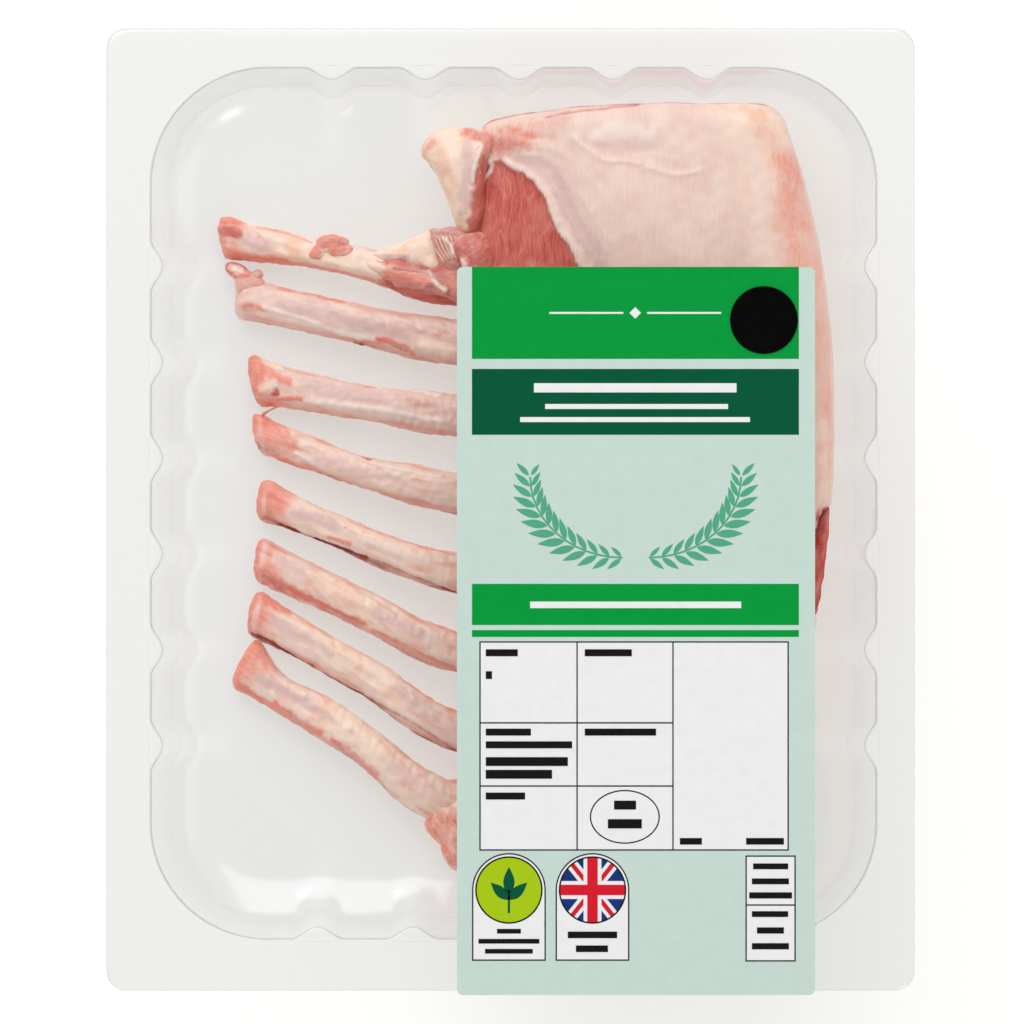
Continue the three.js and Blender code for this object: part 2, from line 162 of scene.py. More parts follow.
def add_mesh(name, points, faces, finish, replaced=(), fields=None, smooth_faces=True):
    """A piece of the object from an array of points in millimetres and arrays of faces.  A closed
    surface whose volume comes out negative is turned round.  Fields are values at the points."""
    fans = [face[:, [0, k, k + 1]] for face in faces for k in range(1, face.shape[1] - 1)]
    corners = points[np.concatenate(fans)]
    volume = np.einsum("ij,ij->", corners[:, 0], np.cross(corners[:, 1], corners[:, 2]))
    if volume < 0:
        faces = [face[:, ::-1] for face in faces]
    loops = np.concatenate([face.ravel() for face in faces]).astype(np.int32)
    sizes = np.concatenate([np.full(len(face), face.shape[1]) for face in faces])
    mesh = bpy.data.meshes.new(name)
    mesh.vertices.add(len(points))
    mesh.vertices.foreach_set("co", (points * MM).astype(np.float32).ravel())
    mesh.loops.add(len(loops))
    mesh.loops.foreach_set("vertex_index", loops)
    mesh.polygons.add(len(sizes))
    mesh.polygons.foreach_set("loop_start", (np.cumsum(sizes) - sizes).astype(np.int32))
    mesh.polygons.foreach_set("use_smooth", np.full(len(sizes), smooth_faces))
    for key, values in (fields or {}).items():
        vector = values.ndim == 2
        layer = mesh.attributes.new(key, "FLOAT_VECTOR" if vector else "FLOAT", "POINT")
        layer.data.foreach_set("vector" if vector else "value", values.astype(np.float32).ravel())
    mesh.update(calc_edges=True)
    mesh.materials.append(finish)
    piece = bpy.data.objects.new(name, mesh)
    bpy.context.scene.collection.objects.link(piece)
    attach(piece, BODY)
    if replaced:
        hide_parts(*replaced)
    return piece


def ring_faces(rows, columns):
    """Quads between neighbouring rings of points, and a fan at either end round a middle point.  The
    two middle points come after the rings."""
    index = np.arange(rows * columns).reshape(rows, columns)
    ahead = np.roll(index, -1, axis=1)
    quads = np.stack([index[:-1], ahead[:-1], ahead[1:], index[1:]], -1).reshape(-1, 4)
    start = np.full(columns, rows * columns)
    fans = np.concatenate(
        [np.stack([ahead[0], index[0], start], -1), np.stack([index[-1], ahead[-1], start + 1], -1)]
    )
    return [quads, fans]


def with_middles(values):
    """The values of all rings in one row, followed by the means of the first and the last ring."""
    flat = values.reshape(-1, *values.shape[2:])
    return np.concatenate([flat, values[:1].mean(1), values[-1:].mean(1)])


def add_loft(name, rings, finish, replaced=(), fields=None):
    """A closed smooth piece through rings of points, an array of rows by columns by 3."""
    fields = {key: with_middles(values) for key, values in (fields or {}).items()}
    faces = ring_faces(*rings.shape[:2])
    return add_mesh(name, with_middles(rings), faces, finish, replaced, fields)


def outward(rings, middle):
    """Unit normals of a surface of closed rings: the cross product of its two directions, turned away
    from each ring's middle."""
    around = np.roll(rings, -1, axis=1) - np.roll(rings, 1, axis=1)
    along = np.gradient(rings, axis=0)
    normal = np.cross(around, along)
    normal /= np.maximum(np.linalg.norm(normal, axis=-1, keepdims=True), 1e-9)
    facing = np.sign(((rings - middle[:, None]) * normal).sum(-1).sum(-1))
    return normal * np.where(facing == 0, 1, facing)[:, None, None]


def joined(parts):
    """Several (points, faces) pairs as one."""
    points, faces, count = [], [], 0
    for more, some in parts:
        faces += [face + count for face in some]
        points.append(more)
        count += len(more)
    return np.concatenate(points), faces


# ---------------------------------------------------------------- materials


class Socket:
    """A value in a material's nodes.  Arithmetic on it adds Math nodes."""

    def __init__(self, finish, source):
        self.finish = finish
        self.source = source

    def math(self, operation, *values):
        settings = {"operation": operation}
        return self.finish.node("ShaderNodeMath", settings, dict(enumerate(values)))

    def __add__(self, other):
        return self.math("ADD", self, other)

    def __sub__(self, other):
        return self.math("SUBTRACT", self, other)

    def __rsub__(self, other):
        return self.math("SUBTRACT", other, self)

    def __mul__(self, other):
        return self.math("MULTIPLY", self, other)

    def __pow__(self, other):
        return self.math("POWER", self, other)

    def __abs__(self):
        return self.math("ABSOLUTE", self)

    __radd__ = __add__
    __rmul__ = __mul__


class Finish:
    """A material, and the one way in which nodes are added to it."""

    def __init__(self, name):
        self.material = bpy.data.materials.new(name)
        self.material.use_nodes = True
        self.tree = self.material.node_tree
        self.tree.nodes.clear()

    def node(self, kind, settings=None, values=None, output=0):
        """Adds a node, sets its settings and then its sockets, and returns one of its outputs."""
        made = self.tree.nodes.new(kind)
        for key, value in (settings or {}).items():
            setattr(made, key, value)
        for key, value in (values or {}).items():
            if isinstance(value, Socket):
                self.tree.links.new(value.source, made.inputs[key])
            elif made.inputs[key].type == "RGBA":
                made.inputs[key].default_value = (*tuple(value)[:3], 1)
            else:
                made.inputs[key].default_value = value
        return Socket(self, made.outputs[output])

    def place(self):
        """The point's place on the object, in metres."""
        return self.node("ShaderNodeTexCoord", output="Object")

    def field(self, name, output="Fac"):
        """A value that the mesh holds at its points."""
        return self.node("ShaderNodeAttribute", {"attribute_name": name}, output=output)

    def scaled(self, vector, x, y, z):
        settings = {"operation": "MULTIPLY"}
        return self.node("ShaderNodeVectorMath", settings, {0: vector, 1: (x, y, z)})

    def moved(self, vector, other):
        return self.node("ShaderNodeVectorMath", {"operation": "ADD"}, {0: vector, 1: other})

    def parts(self, vector):
        """The vector's three numbers."""
        split = self.node("ShaderNodeSeparateXYZ", None, {0: vector}).source.node
        return [Socket(self, split.outputs[k]) for k in range(3)]

    def noise(self, vector, scale, detail=3.0, roughness=0.5, output="Fac"):
        values = {"Vector": vector, "Scale": scale, "Detail": detail, "Roughness": roughness}
        return self.node("ShaderNodeTexNoise", None, values, output)

    def rise(self, value, low, high):
        """0 up to low, 1 from high on, and an S-shaped rise between them."""
        settings = {"interpolation_type": "SMOOTHSTEP"}
        values = {"Value": value, "From Min": low, "From Max": high}
        return self.node("ShaderNodeMapRange", settings, values)

    def blend(self, share, first, second):
        """The first colour, with a share of the second."""
        return self.node("ShaderNodeMix", {"data_type": "RGBA"}, {0: share, 6: first, 7: second}, 2)

    def bump(self, height, distance, strength=1.0):
        values = {"Height": height, "Distance": distance, "Strength": strength}
        return self.node("ShaderNodeBump", None, values)

    def principled(self, **values):
        named = {key.replace("_", " "): value for key, value in values.items()}
        return self.node("ShaderNodeBsdfPrincipled", None, named)

    def either(self, share, first, second):
        """The first shader, with a share of the second."""
        return self.node("ShaderNodeMixShader", None, {0: share, 1: first, 2: second})

    def done(self, shader):
        """The material, with the shader as its surface."""
        end = self.tree.nodes.new("ShaderNodeOutputMaterial")
        self.tree.links.new(shader.source, end.inputs["Surface"])
        return self.material


# ---------------------------------------------------------------- sizes and colours


def linear(red, green, blue):
    """A screen colour, each part from 0 to 255, as the linear colour that shaders take."""
    screen = np.array([red, green, blue]) / 255
    return tuple(np.where(screen <= 0.04045, screen / 12.92, ((screen + 0.055) / 1.055) ** 2.4))


def colour(name, description, *screen):
    """A colour whose default is given as a screen colour."""
    return bpy.props.FloatVectorProperty(
        name=name, description=description, default=linear(*screen), size=3, min=0, max=1, subtype="COLOR"
    )


def length(name, description, default):
    """A length whose default is given in millimetres."""
    return bpy.props.FloatProperty(
        name=name, description=description, default=default * MM, min=0, unit="LENGTH", precision=4
    )


class PackSizes(bpy.types.PropertyGroup):
    """Sizes of the tray and the film."""

    well_width: length("Well width", "Width of the well at its mouth", 187.8)
    well_length: length("Well length", "Length of the well at its mouth", 225.7)
    well_radius: length("Corner radius", "Radius of the well's corners", 30)
    wall: length("Wall", "Thickness of the tray's sheet", 0.8)
    draft: length("Draft", "How far the wall leans in on its way down", 4)
    foot: length("Foot", "How far the rounded foot reaches in from the wall", 12.5)
    flute_width: length("Flute width", "Width of one flute", 13)
    flute_depth: length("Flute depth", "Depth of one flute", 3)
    mouth: length("Mouth radius", "Rounding between wall and flange", 0.7)
    film_sag: length("Film sag", "How far the film sinks over the well", 0.35)


class LambSizes(bpy.types.PropertyGroup):
    """Sizes of the rack's flesh and bones."""

    rib_thickness: length("Rib thickness", "Thickness of a scraped rib", 7.6)
    rib_rise: length("Rib rise", "How far the ribs arch up between tip and spine", 6.5)
    bevel: length("Rib bevel", "How far a rib's lower side falls off", 1.5)
    facet: length("Rib facet", "Length of the slanted cut at a rib's tip", 2.6)
    unevenness: length("Unevenness", "Height of the ribs' lumps", 0.3)
    face_depth: length("Cut depth", "How deep the cut muscle lies under the silverskin", 1.1)


class Colours(bpy.types.PropertyGroup):
    """Colours of the flesh, the print and the plastic."""

    skin: colour("Silverskin", "Thin pink skin", 233, 199, 187)
    skin_beige: colour("Silverskin, beige", "Where the skin lies on fat", 237, 210, 195)
    muscle: colour("Muscle", "Cut lean meat", 206, 93, 81)
    muscle_deep: colour("Muscle, deep", "Darkest fibres of the meat", 181, 66, 58)
    muscle_pale: colour("Muscle, pale", "Palest fibres of the meat", 228, 148, 132)
    fat: colour("Fat", "Cream fat", 249, 221, 201)
    fat_peach: colour("Fat, peach", "Warmer fat", 245, 198, 172)
    salmon: colour("Trim", "Thin red flesh on bone", 228, 110, 90)
    salmon_light: colour("Trim, light", "Thin flesh over fat", 241, 162, 141)
    cool: colour("Bone", "Bone that shows through the skin", 219, 183, 177)
    # Deep red that also serves as painted shade along the ribs' lower edges.
    dark: colour("Shadow red", "Deep red along the underside", 156, 50, 44)
    crimson: colour("Crimson", "Freshly cut lean meat on the side", 186, 46, 41)
    # Also the colour of the painted highlights on the skin and along the ribs' edges and sawn tips.
    pale: colour("Strands", "White strands and folds", 245, 226, 216)
    paper: colour("Label", "Mint paper", 199, 218, 209)
    green: colour("Green", "Bright green print", 0, 152, 60)
    dark_green: colour("Dark green", "Dark green print", 0, 86, 57)
    sprig: colour("Sprig", "Green of the sprigs", 84, 168, 132)
    white: colour("White", "White print", 237, 237, 237)
    black: colour("Black", "Black print", 20, 20, 20)
    lime: colour("Lime", "Lime print", 168, 200, 20)
    navy: colour("Blue", "Blue print", 22, 50, 118)
    scarlet: colour("Red", "Red print", 214, 24, 42)
    plastic: colour("Plastic", "Body of the clear plastic", 244, 244, 242)
    # Painted shade: the grey painted into the clear plastic over the well, up its wall and along its bends.
    crease: colour("Crease", "Lines where the clear plastic bends", 120, 120, 118)


class StageSizes(bpy.types.PropertyGroup):
    """The camera, the lights and the floor."""

    view_width: length("View width", "Width of what the camera sees at the film", 265.9)
    distance: length("Distance", "From the camera to the film", 6000)
    floor: length("Floor", "Width of the floor", 6000)
    world: bpy.props.FloatProperty(name="World", description="Brightness all round", default=0.62, min=0)
    glow: bpy.props.FloatProperty(
        name="Glow", description="Light from below, through the floor", default=0.56, min=0
    )
    floor_colour: colour("Floor colour", "Pale floor", 180, 182, 178)


def mm(value):
    """A length property as millimetres."""
    return value / MM


# ---------------------------------------------------------------- stage

SENSOR_MM = 36
VIEW_CENTRE = (0.4, -0.1)
FLOOR_GAP = 0.05

# Softboxes: where each stands, seen from the pack in metres, how wide and long it is, and its watts.
LIGHTS = {
    "key": ((-0.9, 1.2, 1.5), (0.9, 0.9), 6),
    "top": ((-0.1, 1.3, 1.3), (1.4, 2.4), 15.5),
    "right": ((1.5, -0.2, 1.0), (0.9, 1.2), 1.6),
    "low": ((0.75, -1.45, 1.2), (0.5, 0.5), 2.2),
}


def add_light(name, place, size, watts):
    lamp = bpy.data.lights.new(name, "AREA")
    lamp.shape = "RECTANGLE"
    lamp.size, lamp.size_y = size
    lamp.energy = watts
    holder = bpy.data.objects.new(name, lamp)
    holder.location = place
    aim = Vector(place)
    holder.rotation_mode = "QUATERNION"
    holder.rotation_quaternion = aim.to_track_quat("Z", "Y")
    bpy.context.scene.collection.objects.link(holder)


def add_camera(stage, level):
    """A camera that looks straight down with +Y up in its picture."""
    camera = bpy.data.cameras.new("camera")
    camera.sensor_width = SENSOR_MM
    camera.lens = SENSOR_MM * stage.distance / stage.view_width
    camera.clip_start = 0.1
    camera.clip_end = 10 * stage.distance
    holder = bpy.data.objects.new("camera", camera)
    holder.location = (VIEW_CENTRE[0] * MM, VIEW_CENTRE[1] * MM, level + stage.distance)
    bpy.context.scene.collection.objects.link(holder)
    bpy.context.scene.camera = holder


def floor_finish(stage):
    """A matt pale surface with the faintest unevenness, lit from below like a light table."""
    finish = Finish("pale_floor")
    cloud = finish.noise(finish.place(), 3.0, 0.0)
    values = {
        "Base_Color": finish.blend(0.02 * cloud, stage.floor_colour, (0.9, 0.9, 0.9)),
        "Roughness": 0.9,
        "Specular_IOR_Level": 0.1,
        "Emission_Color": (1, 1, 1),
        "Emission_Strength": stage.glow,
    }
    return finish.done(finish.principled(**values))


class PACK_OT_stage(bpy.types.Operator):
    """Make the floor, the soft lights, the pale world and the camera"""

    bl_idname = "lamb_pack.stage"
    bl_label = "Stage"

    def execute(self, context):
        stage = context.scene.lamb_stage
        half = mm(stage.floor) / 2
        corners = np.array([[-half, -half], [half, -half], [half, half], [-half, half]])
        mesh = bpy.data.meshes.new("floor")
        points = np.column_stack([corners, np.full(4, -FLOOR_GAP)]) * MM
        mesh.from_pydata(points.tolist(), [], [(0, 1, 2, 3)])
        mesh.materials.append(floor_finish(stage))
        floor = bpy.data.objects.new("floor", mesh)
        context.scene.collection.objects.link(floor)
        for name, (place, size, watts) in LIGHTS.items():
            add_light(name, place, size, watts)
        world = bpy.data.worlds.new("pale_room")
        world.use_nodes = True
        world.node_tree.nodes["Background"].inputs["Color"].default_value = (1, 1, 1, 1)
        world.node_tree.nodes["Background"].inputs["Strength"].default_value = stage.world
        context.scene.world = world
        context.scene.view_settings.view_transform = "Standard"
        if hasattr(context.scene, "cycles"):
            context.scene.cycles.transparent_max_bounces = 32
        add_camera(stage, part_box("film")[1].z)
        return {"FINISHED"}


# ---------------------------------------------------------------- tray and film

WELL_CENTRE = (0.8, 2.1)

# The flutes of the right, top, left and bottom side: how many, their spacing, and where their middle
# lies along the side.
FLUTE_ROWS = [(6, 24.9, 0.95), (5, 24.4, 2.2), (6, 24.9, 0.95), (5, 24.7, -0.65)]
STATION_STEP = 1.1
CORNER_STEPS = 44
FLANGE_RADIUS = 5
RIM_ROUND = 0.35
RIM_GLOSS = 0.25
FOOT_TILT = 48
FLUTE_POWER = 0.75
HAIR = 0.1

# Where the rings of the floor and the flange lie, as parts of the way out, and the turns of the rim's.
FLOOR_PARTS = (0.25, 0.5, 0.75, 0.92)
FLANGE_PARTS = (0.05, 0.5, 0.94)
RIM_TURNS = (60, 20, -20, -60)

# Painted shade, as the share of grey painted into the clear sheet: all over the floor, at the foot's
# edge, up the wall by parts of its height, and as a painted shadow on the wall beyond the rack, whose
# shade rises between two places along Y; and painted dark lines that stand in for refraction where the
# sheet bends: along the hairline round the mouth, on the rim, and round the mouth by degrees.
FLOOR_PAINTED_SHADE = 0.15
FOOT_PAINTED_SHADE = 0.12
FAR_WALL_PAINTED_SHADOW = 0.22
FAR_WALL = (75, 112)
HAIR_PAINTED_SHADE = 0.45
RIM_PAINTED_SHADE = 0.1
WALL_PAINTED_SHADES = ((0.012, 0.34), (0.04, 0.22), (0.3, 0.2), (0.6, 0.16), (1, 0.14))
MOUTH_PAINTED_SHADES = ((22, 0.4), (45, 1.0), (68, 0.7), (90, 0.1))
PAINTED_SHADE_SHARE = 0.5

# Of each clear sheet: its tint, the milkiness flat on and edge on, and the gloss flat on and edge on.
TRAY_CLARITY = (0.95, 0.02, 0.08, 0.1, 0.2)
FILM_CLARITY = (0.985, 0.1, 0.0, 0.02, 0.3)
GLOSS_ROUGHNESS = 0.2


def side_directions(turn):
    """The directions out of a side and along it, anticlockwise.  Turn 0 is the right side."""
    angle = turn * math.pi / 2
    out = np.round([math.cos(angle), math.sin(angle)])
    return out, np.array([-out[1], out[0]])


def rim_corner(out, along, reach, side_reach, start, end, part):
    """From a point on one side of the flange round its corner to a point on the next side, at parts
    of that way's length."""
    turns = np.linspace(0, math.pi / 2, 12)[:, None]
    pivot = out * (reach - FLANGE_RADIUS) + along * (side_reach - FLANGE_RADIUS)
    arc = pivot + FLANGE_RADIUS * (np.cos(turns) * out + np.sin(turns) * along)
    way = np.vstack([out * reach + along * start, arc, out * end + along * side_reach])
    return walk(way, part * run_along(way)[-1])


def tray_stations(sizes):
    """Arrays round the well's mouth, anticlockwise: each station's place, its inward direction, its
    share of a flute's depth, a power of a raised cosine across each flute, and its partner on the
    flange's rim."""
    width, height, radius = mm(sizes.well_width), mm(sizes.well_length), mm(sizes.well_radius)
    low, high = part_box("film")
    flange = np.array([high.x - low.x, high.y - low.y]) / MM / 2
    flange_centre = np.array([high.x + low.x, high.y + low.y]) / MM / 2
    centre = np.array(WELL_CENTRE) - flange_centre
    places, inwards, weights, partners = [], [], [], []
    for turn, (count, pitch, middle) in enumerate(FLUTE_ROWS):
        out, along = side_directions(turn)
        reach = (height if turn % 2 else width) / 2
        half_run = (width if turn % 2 else height) / 2
        steps = int((half_run - radius) * 2 / STATION_STEP)
        run = np.linspace(radius - half_run, half_run - radius, steps, endpoint=False)
        straight = centre + out * reach + run[:, None] * along
        flutes = middle * along.sum() + pitch * (np.arange(count) - (count - 1) / 2)
        offset = np.subtract.outer(straight @ along, flutes) / mm(sizes.flute_width)
        places.append(straight)
        inwards.append(np.tile(-out, (steps, 1)))
        bulge = (0.5 + 0.5 * np.cos(TURN * offset)) ** FLUTE_POWER
        weights.append(np.where(np.abs(offset) < 0.5, bulge, 0).sum(1))
        rim_reach = flange[turn % 2]
        partners.append(straight - (straight @ out)[:, None] * out + out * rim_reach)
        part = np.linspace(0, 1, CORNER_STEPS, endpoint=False)
        arc = (part * math.pi / 2)[:, None]
        away = np.cos(arc) * out + np.sin(arc) * along
        pivot = centre + out * (reach - radius) + along * (half_run - radius)
        places.append(pivot + radius * away)
        inwards.append(-away)
        weights.append(np.zeros(CORNER_STEPS))
        ends = pivot @ along, pivot @ out
        partners.append(rim_corner(out, along, rim_reach, flange[1 - turn % 2], *ends, part))
    place, inward, partner = (np.concatenate(rows) for rows in (places, inwards, partners))
    return place + flange_centre, inward, np.concatenate(weights), partner + flange_centre


def tray_rings(sizes):
    """Rings of the tray's closed skin, how much painted shade it holds at each point, and how much gloss
    each ring has: over the floor, up the foot's arc, which stops at its steepest tilt, and the leaning wall,
    round the mouth, across the flange, round its rim and back underneath, shifted by the wall's thickness."""
    place, inward, weight, partner = tray_stations(sizes)
    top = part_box("tray")[1].z / MM
    wall, foot, draft = mm(sizes.wall), mm(sizes.foot), mm(sizes.draft)
    mouth, depth = mm(sizes.mouth), mm(sizes.flute_depth)
    centre = np.array(WELL_CENTRE)

    def ring(inset, level, flute):
        """The mouth's line moved inwards, and further by a share of each flute's weight."""
        moved = place + inward * (inset + flute * weight)[:, None]
        return np.column_stack([moved, np.full(len(moved), level)])

    def well(shift):
        """From the floor up the foot and the wall and round the mouth."""
        rows, painted_shades = [], []
        steepest = math.radians(FOOT_TILT)
        radius = foot / math.sin(steepest)
        for tilt in steepest * np.append(np.linspace(0, 0.95, 12), 1):
            share = math.sin(tilt) / math.sin(steepest)
            level = wall + radius * (1 - math.cos(tilt))
            rows.append(ring(draft + foot * (1 - share) - shift, level - shift, depth * share))
            # Painted shade over the foot, darker towards the foot's edge.
            painted_shades.append(FLOOR_PAINTED_SHADE + FOOT_PAINTED_SHADE * smooth(0.86, 1, share))
        low = level
        for part, crease in WALL_PAINTED_SHADES:
            level = between(low, top - mouth * (1 if shift == 0 else 0.3), part)
            inset = draft * (top - level) / (top - low)
            rows.append(ring(inset - shift, level - shift, depth))
            # Painted shade up the wall, with a painted shadow on the far wall beyond the rack.
            painted_shades.append(crease + FAR_WALL_PAINTED_SHADOW * smooth(*FAR_WALL, place[:, 1]))
        # Painted dark lines round the mouth, which stand in for refraction at the bend.
        for degrees, crease in MOUTH_PAINTED_SHADES:
            turn = math.radians(degrees)
            inset = mouth * (math.cos(turn) - 1)
            level = top - mouth + mouth * math.sin(turn)
            rows.append(ring(inset - shift, level - shift, depth))
            painted_shades.append(crease)
        return rows, painted_shades

    def across(level, shift):
        """The flange from the mouth out to its rim, past the straight line behind the flutes."""
        rows = [ring(-mouth - reach * HAIR - shift, level, 0) for reach in (1, 2, 3)]
        # A painted dark hairline behind the flutes.
        marks = [0 * weight, HAIR_PAINTED_SHADE * weight, 0 * weight]
        straight = rows[-1]
        for part in FLANGE_PARTS:
            flat = between(straight[:, :2], partner, part)
            rows.append(np.column_stack([flat, np.full(len(flat), level)]))
            marks.append(0 * weight)
        return rows, marks

    def bottom(edge):
        """Rings from the middle of the floor out to its edge."""
        flats = [between(centre, edge[:, :2], part) for part in FLOOR_PARTS]
        return [np.column_stack([flat, edge[:, 2]]) for flat in flats]

    inner, inner_shades = well(0.0)
    outer = well(wall)[0]
    rows = bottom(inner[0])
    # Painted shade over the floor.
    painted_shades = [FLOOR_PAINTED_SHADE + 0 * weight for _ in rows]
    rows += inner
    painted_shades += [share * (0.6 + 0.4 * (1 - weight)) for share in inner_shades]
    rows_top, shades_top = across(top, 0.0)
    rows += rows_top
    painted_shades += shades_top
    outwards = partner - between(centre, partner, 0.98)
    outwards /= np.linalg.norm(outwards, axis=1, keepdims=True)
    for turn in np.radians(RIM_TURNS):
        edge = partner + outwards * RIM_ROUND * (math.cos(turn) - 1)
        level = top - wall / 2 + wall / 2 * math.sin(turn)
        rows.append(np.column_stack([edge, np.full(len(edge), level)]))
        # A painted dark line round the rim.
        painted_shades.append(RIM_PAINTED_SHADE + 0 * weight)
    upper = len(rows)
    rows += across(top - wall, wall)[0][::-1] + outer[::-1] + bottom(outer[0])[::-1]
    painted_shades += [0 * weight] * (len(rows) - upper)
    shown = np.where(np.arange(len(rows)) < upper, 1.0, 0.0)
    shown[upper - len(RIM_TURNS):upper] = RIM_GLOSS
    return np.stack(rows), np.stack(painted_shades), shown[:, None] + 0 * weight


def clear_finish(name, colours, clarity):
    """Clear sheet: mostly see-through, with a faint milky body that thickens where it is seen edge
    on and turns grey where the mesh holds painted shade, and a gloss that rises by the fifth power
    towards the edges.  What the upper skin holds scales the milkiness and the gloss."""
    tint, haze, haze_edge, sheen, sheen_edge = clarity
    finish = Finish(name)
    facing = finish.node("ShaderNodeLayerWeight", None, {"Blend": 0.5}, "Facing")
    upper, crease = finish.field("upper"), finish.field("crease")
    smear = 0.5 + finish.noise(finish.place(), 22.0, 0.0)
    share = upper * (haze * smear + haze_edge * facing**4.0) + PAINTED_SHADE_SHARE * crease
    through = finish.node("ShaderNodeBsdfTransparent", None, {"Color": (tint, tint, tint)})
    # Where the mesh holds painted shade, the milky body turns grey.
    body = finish.blend(finish.rise(crease, 0.0, 0.12), colours.plastic, colours.crease)
    milky = finish.either(share, through, finish.principled(Base_Color=body, Roughness=0.4))
    gloss = finish.node("ShaderNodeBsdfGlossy", None, {"Color": (1, 1, 1), "Roughness": GLOSS_ROUGHNESS})
    return finish.done(finish.either(upper * (sheen + sheen_edge * facing**5.0), milky, gloss))


def add_clear(name, rings, painted_shades, upper, finish, replaced):
    """A clear piece, which throws no shadow and leaves light between the other pieces alone."""
    fields = {"crease": painted_shades, "upper": upper}
    piece = add_loft(name, rings, finish, [replaced], fields)
    piece.visible_shadow = piece.visible_diffuse = False


class PACK_OT_tray(bpy.types.Operator):
    """Make the clear fluted tray"""

    bl_idname = "lamb_pack.tray"
    bl_label = "Tray"

    def execute(self, context):
        rings, painted_shades, upper = tray_rings(context.scene.lamb_pack_sizes)
        finish = clear_finish("clear_tray", context.scene.lamb_colours, TRAY_CLARITY)
        add_clear("tray_shell", rings, painted_shades, upper, finish, "tray")
        return {"FINISHED"}


# Faint folds that the film's tension leaves across two of its corners.
FILM_FOLDS = [[(-79.5, -58), (-60, -77), (-44, -92.5)], [(-47, 94), (-61, 78.5)]]
FOLD_WIDTH = 2.2
FOLD_HEIGHT = 0.05
FILM_GLOSS = 0.1
FILM_STATIONS = 400
FILM_ROWS = 84


def rounded_rectangle(half_width, half_length, radius, count):
    """Points at even steps round a rounded rectangle about the origin, anticlockwise."""
    turns = np.linspace(0, math.pi / 2, 16)
    corners = []
    for turn, (x, y) in enumerate([(1, 1), (-1, 1), (-1, -1), (1, -1)]):
        pivot = np.array([x * (half_width - radius), y * (half_length - radius)])
        angle = turns + turn * math.pi / 2
        corners.append(pivot + radius * np.column_stack([np.cos(angle), np.sin(angle)]))
    way = np.vstack([*corners, corners[0][:1]])
    return walk(way, np.arange(count) / count * run_along(way)[-1])


def film_rings(sizes):
    """Rings of the film from its middle out over its rim and back: flat on the flange, sunk a
    little over the well, with slow ripples and two folds."""
    low, high = (np.array(corner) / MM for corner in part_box("film"))
    half = (high - low)[:2] / 2
    centre = (high + low)[:2] / 2
    rim = rounded_rectangle(half[0], half[1], FLANGE_RADIUS, FILM_STATIONS)
    parts = np.linspace(1 / FILM_ROWS, 1, FILM_ROWS)
    plan = centre + parts[:, None, None] * rim
    spot = np.array(WELL_CENTRE)
    beyond = np.abs(plan - spot) - np.array([mm(sizes.well_width), mm(sizes.well_length)]) / 2
    inside = smooth(0, 9, -beyond.max(-1))
    ripple = 0.5 + 0.5 * waves(plan, 46, 31)
    sink = mm(sizes.film_sag) * inside * ripple
    fold = sum(np.exp(-((distance_to(plan, route) / FOLD_WIDTH) ** 2)) for route in FILM_FOLDS)
    level = high[2] - sink + FOLD_HEIGHT * fold * inside
    upper = FILM_GLOSS + fold
    top = np.dstack([plan, level])
    bottom = np.dstack([plan, level - (high[2] - low[2])])[::-1]
    none = 0 * fold
    return np.concatenate([top, bottom]), np.concatenate([none, none]), np.concatenate([upper, none])


class PACK_OT_film(bpy.types.Operator):
    """Make the clear film that is sealed to the flange"""

    bl_idname = "lamb_pack.film"
    bl_label = "Film"

    def execute(self, context):
        rings, painted_shades, upper = film_rings(context.scene.lamb_pack_sizes)
        finish = clear_finish("clear_film", context.scene.lamb_colours, FILM_CLARITY)
        add_clear("film_sheet", rings, painted_shades, upper, finish, "film")
        return {"FINISHED"}


# ---------------------------------------------------------------- label

PRINT_THICKNESS = 0.02
PRINT_STEP = 0.025
PRINT_GAP = 0.004
STICKER_BLACK = (0.001, 0.001, 0.001)

# The print's fields, in millimetres from the label's left and down from its top edge:
# left, right, top, bottom.
GREEN_FIELDS = [(3.9, 88.8, 0, 23.9), (3.9, 88.8, 82.3, 93.0), (3.9, 88.8, 94.3, 96.1)]
DARK_FIELD = (3.9, 88.8, 26.5, 43.6)
TABLE = (6.0, 86.0, 97.4, 151.4)
TABLE_COLUMNS = [31.2, 56.1]
TABLE_ROWS = [118.4, 134.8]
FACTS = (75.1, 87.8, 153.0, 180.2)
FACTS_DIVIDER = 165.7
RULE = 0.35
OVAL = (43.6, 142.8, 9.1, 7.0)
BADGES = [(13.5, 161.8), (35.2, 161.8)]
BADGE_RADIUS = 9.4
BADGE_BOTTOM = 180.0
DISC_RADIUS = 8.6
DISC_RIM = (0.15, -0.25)

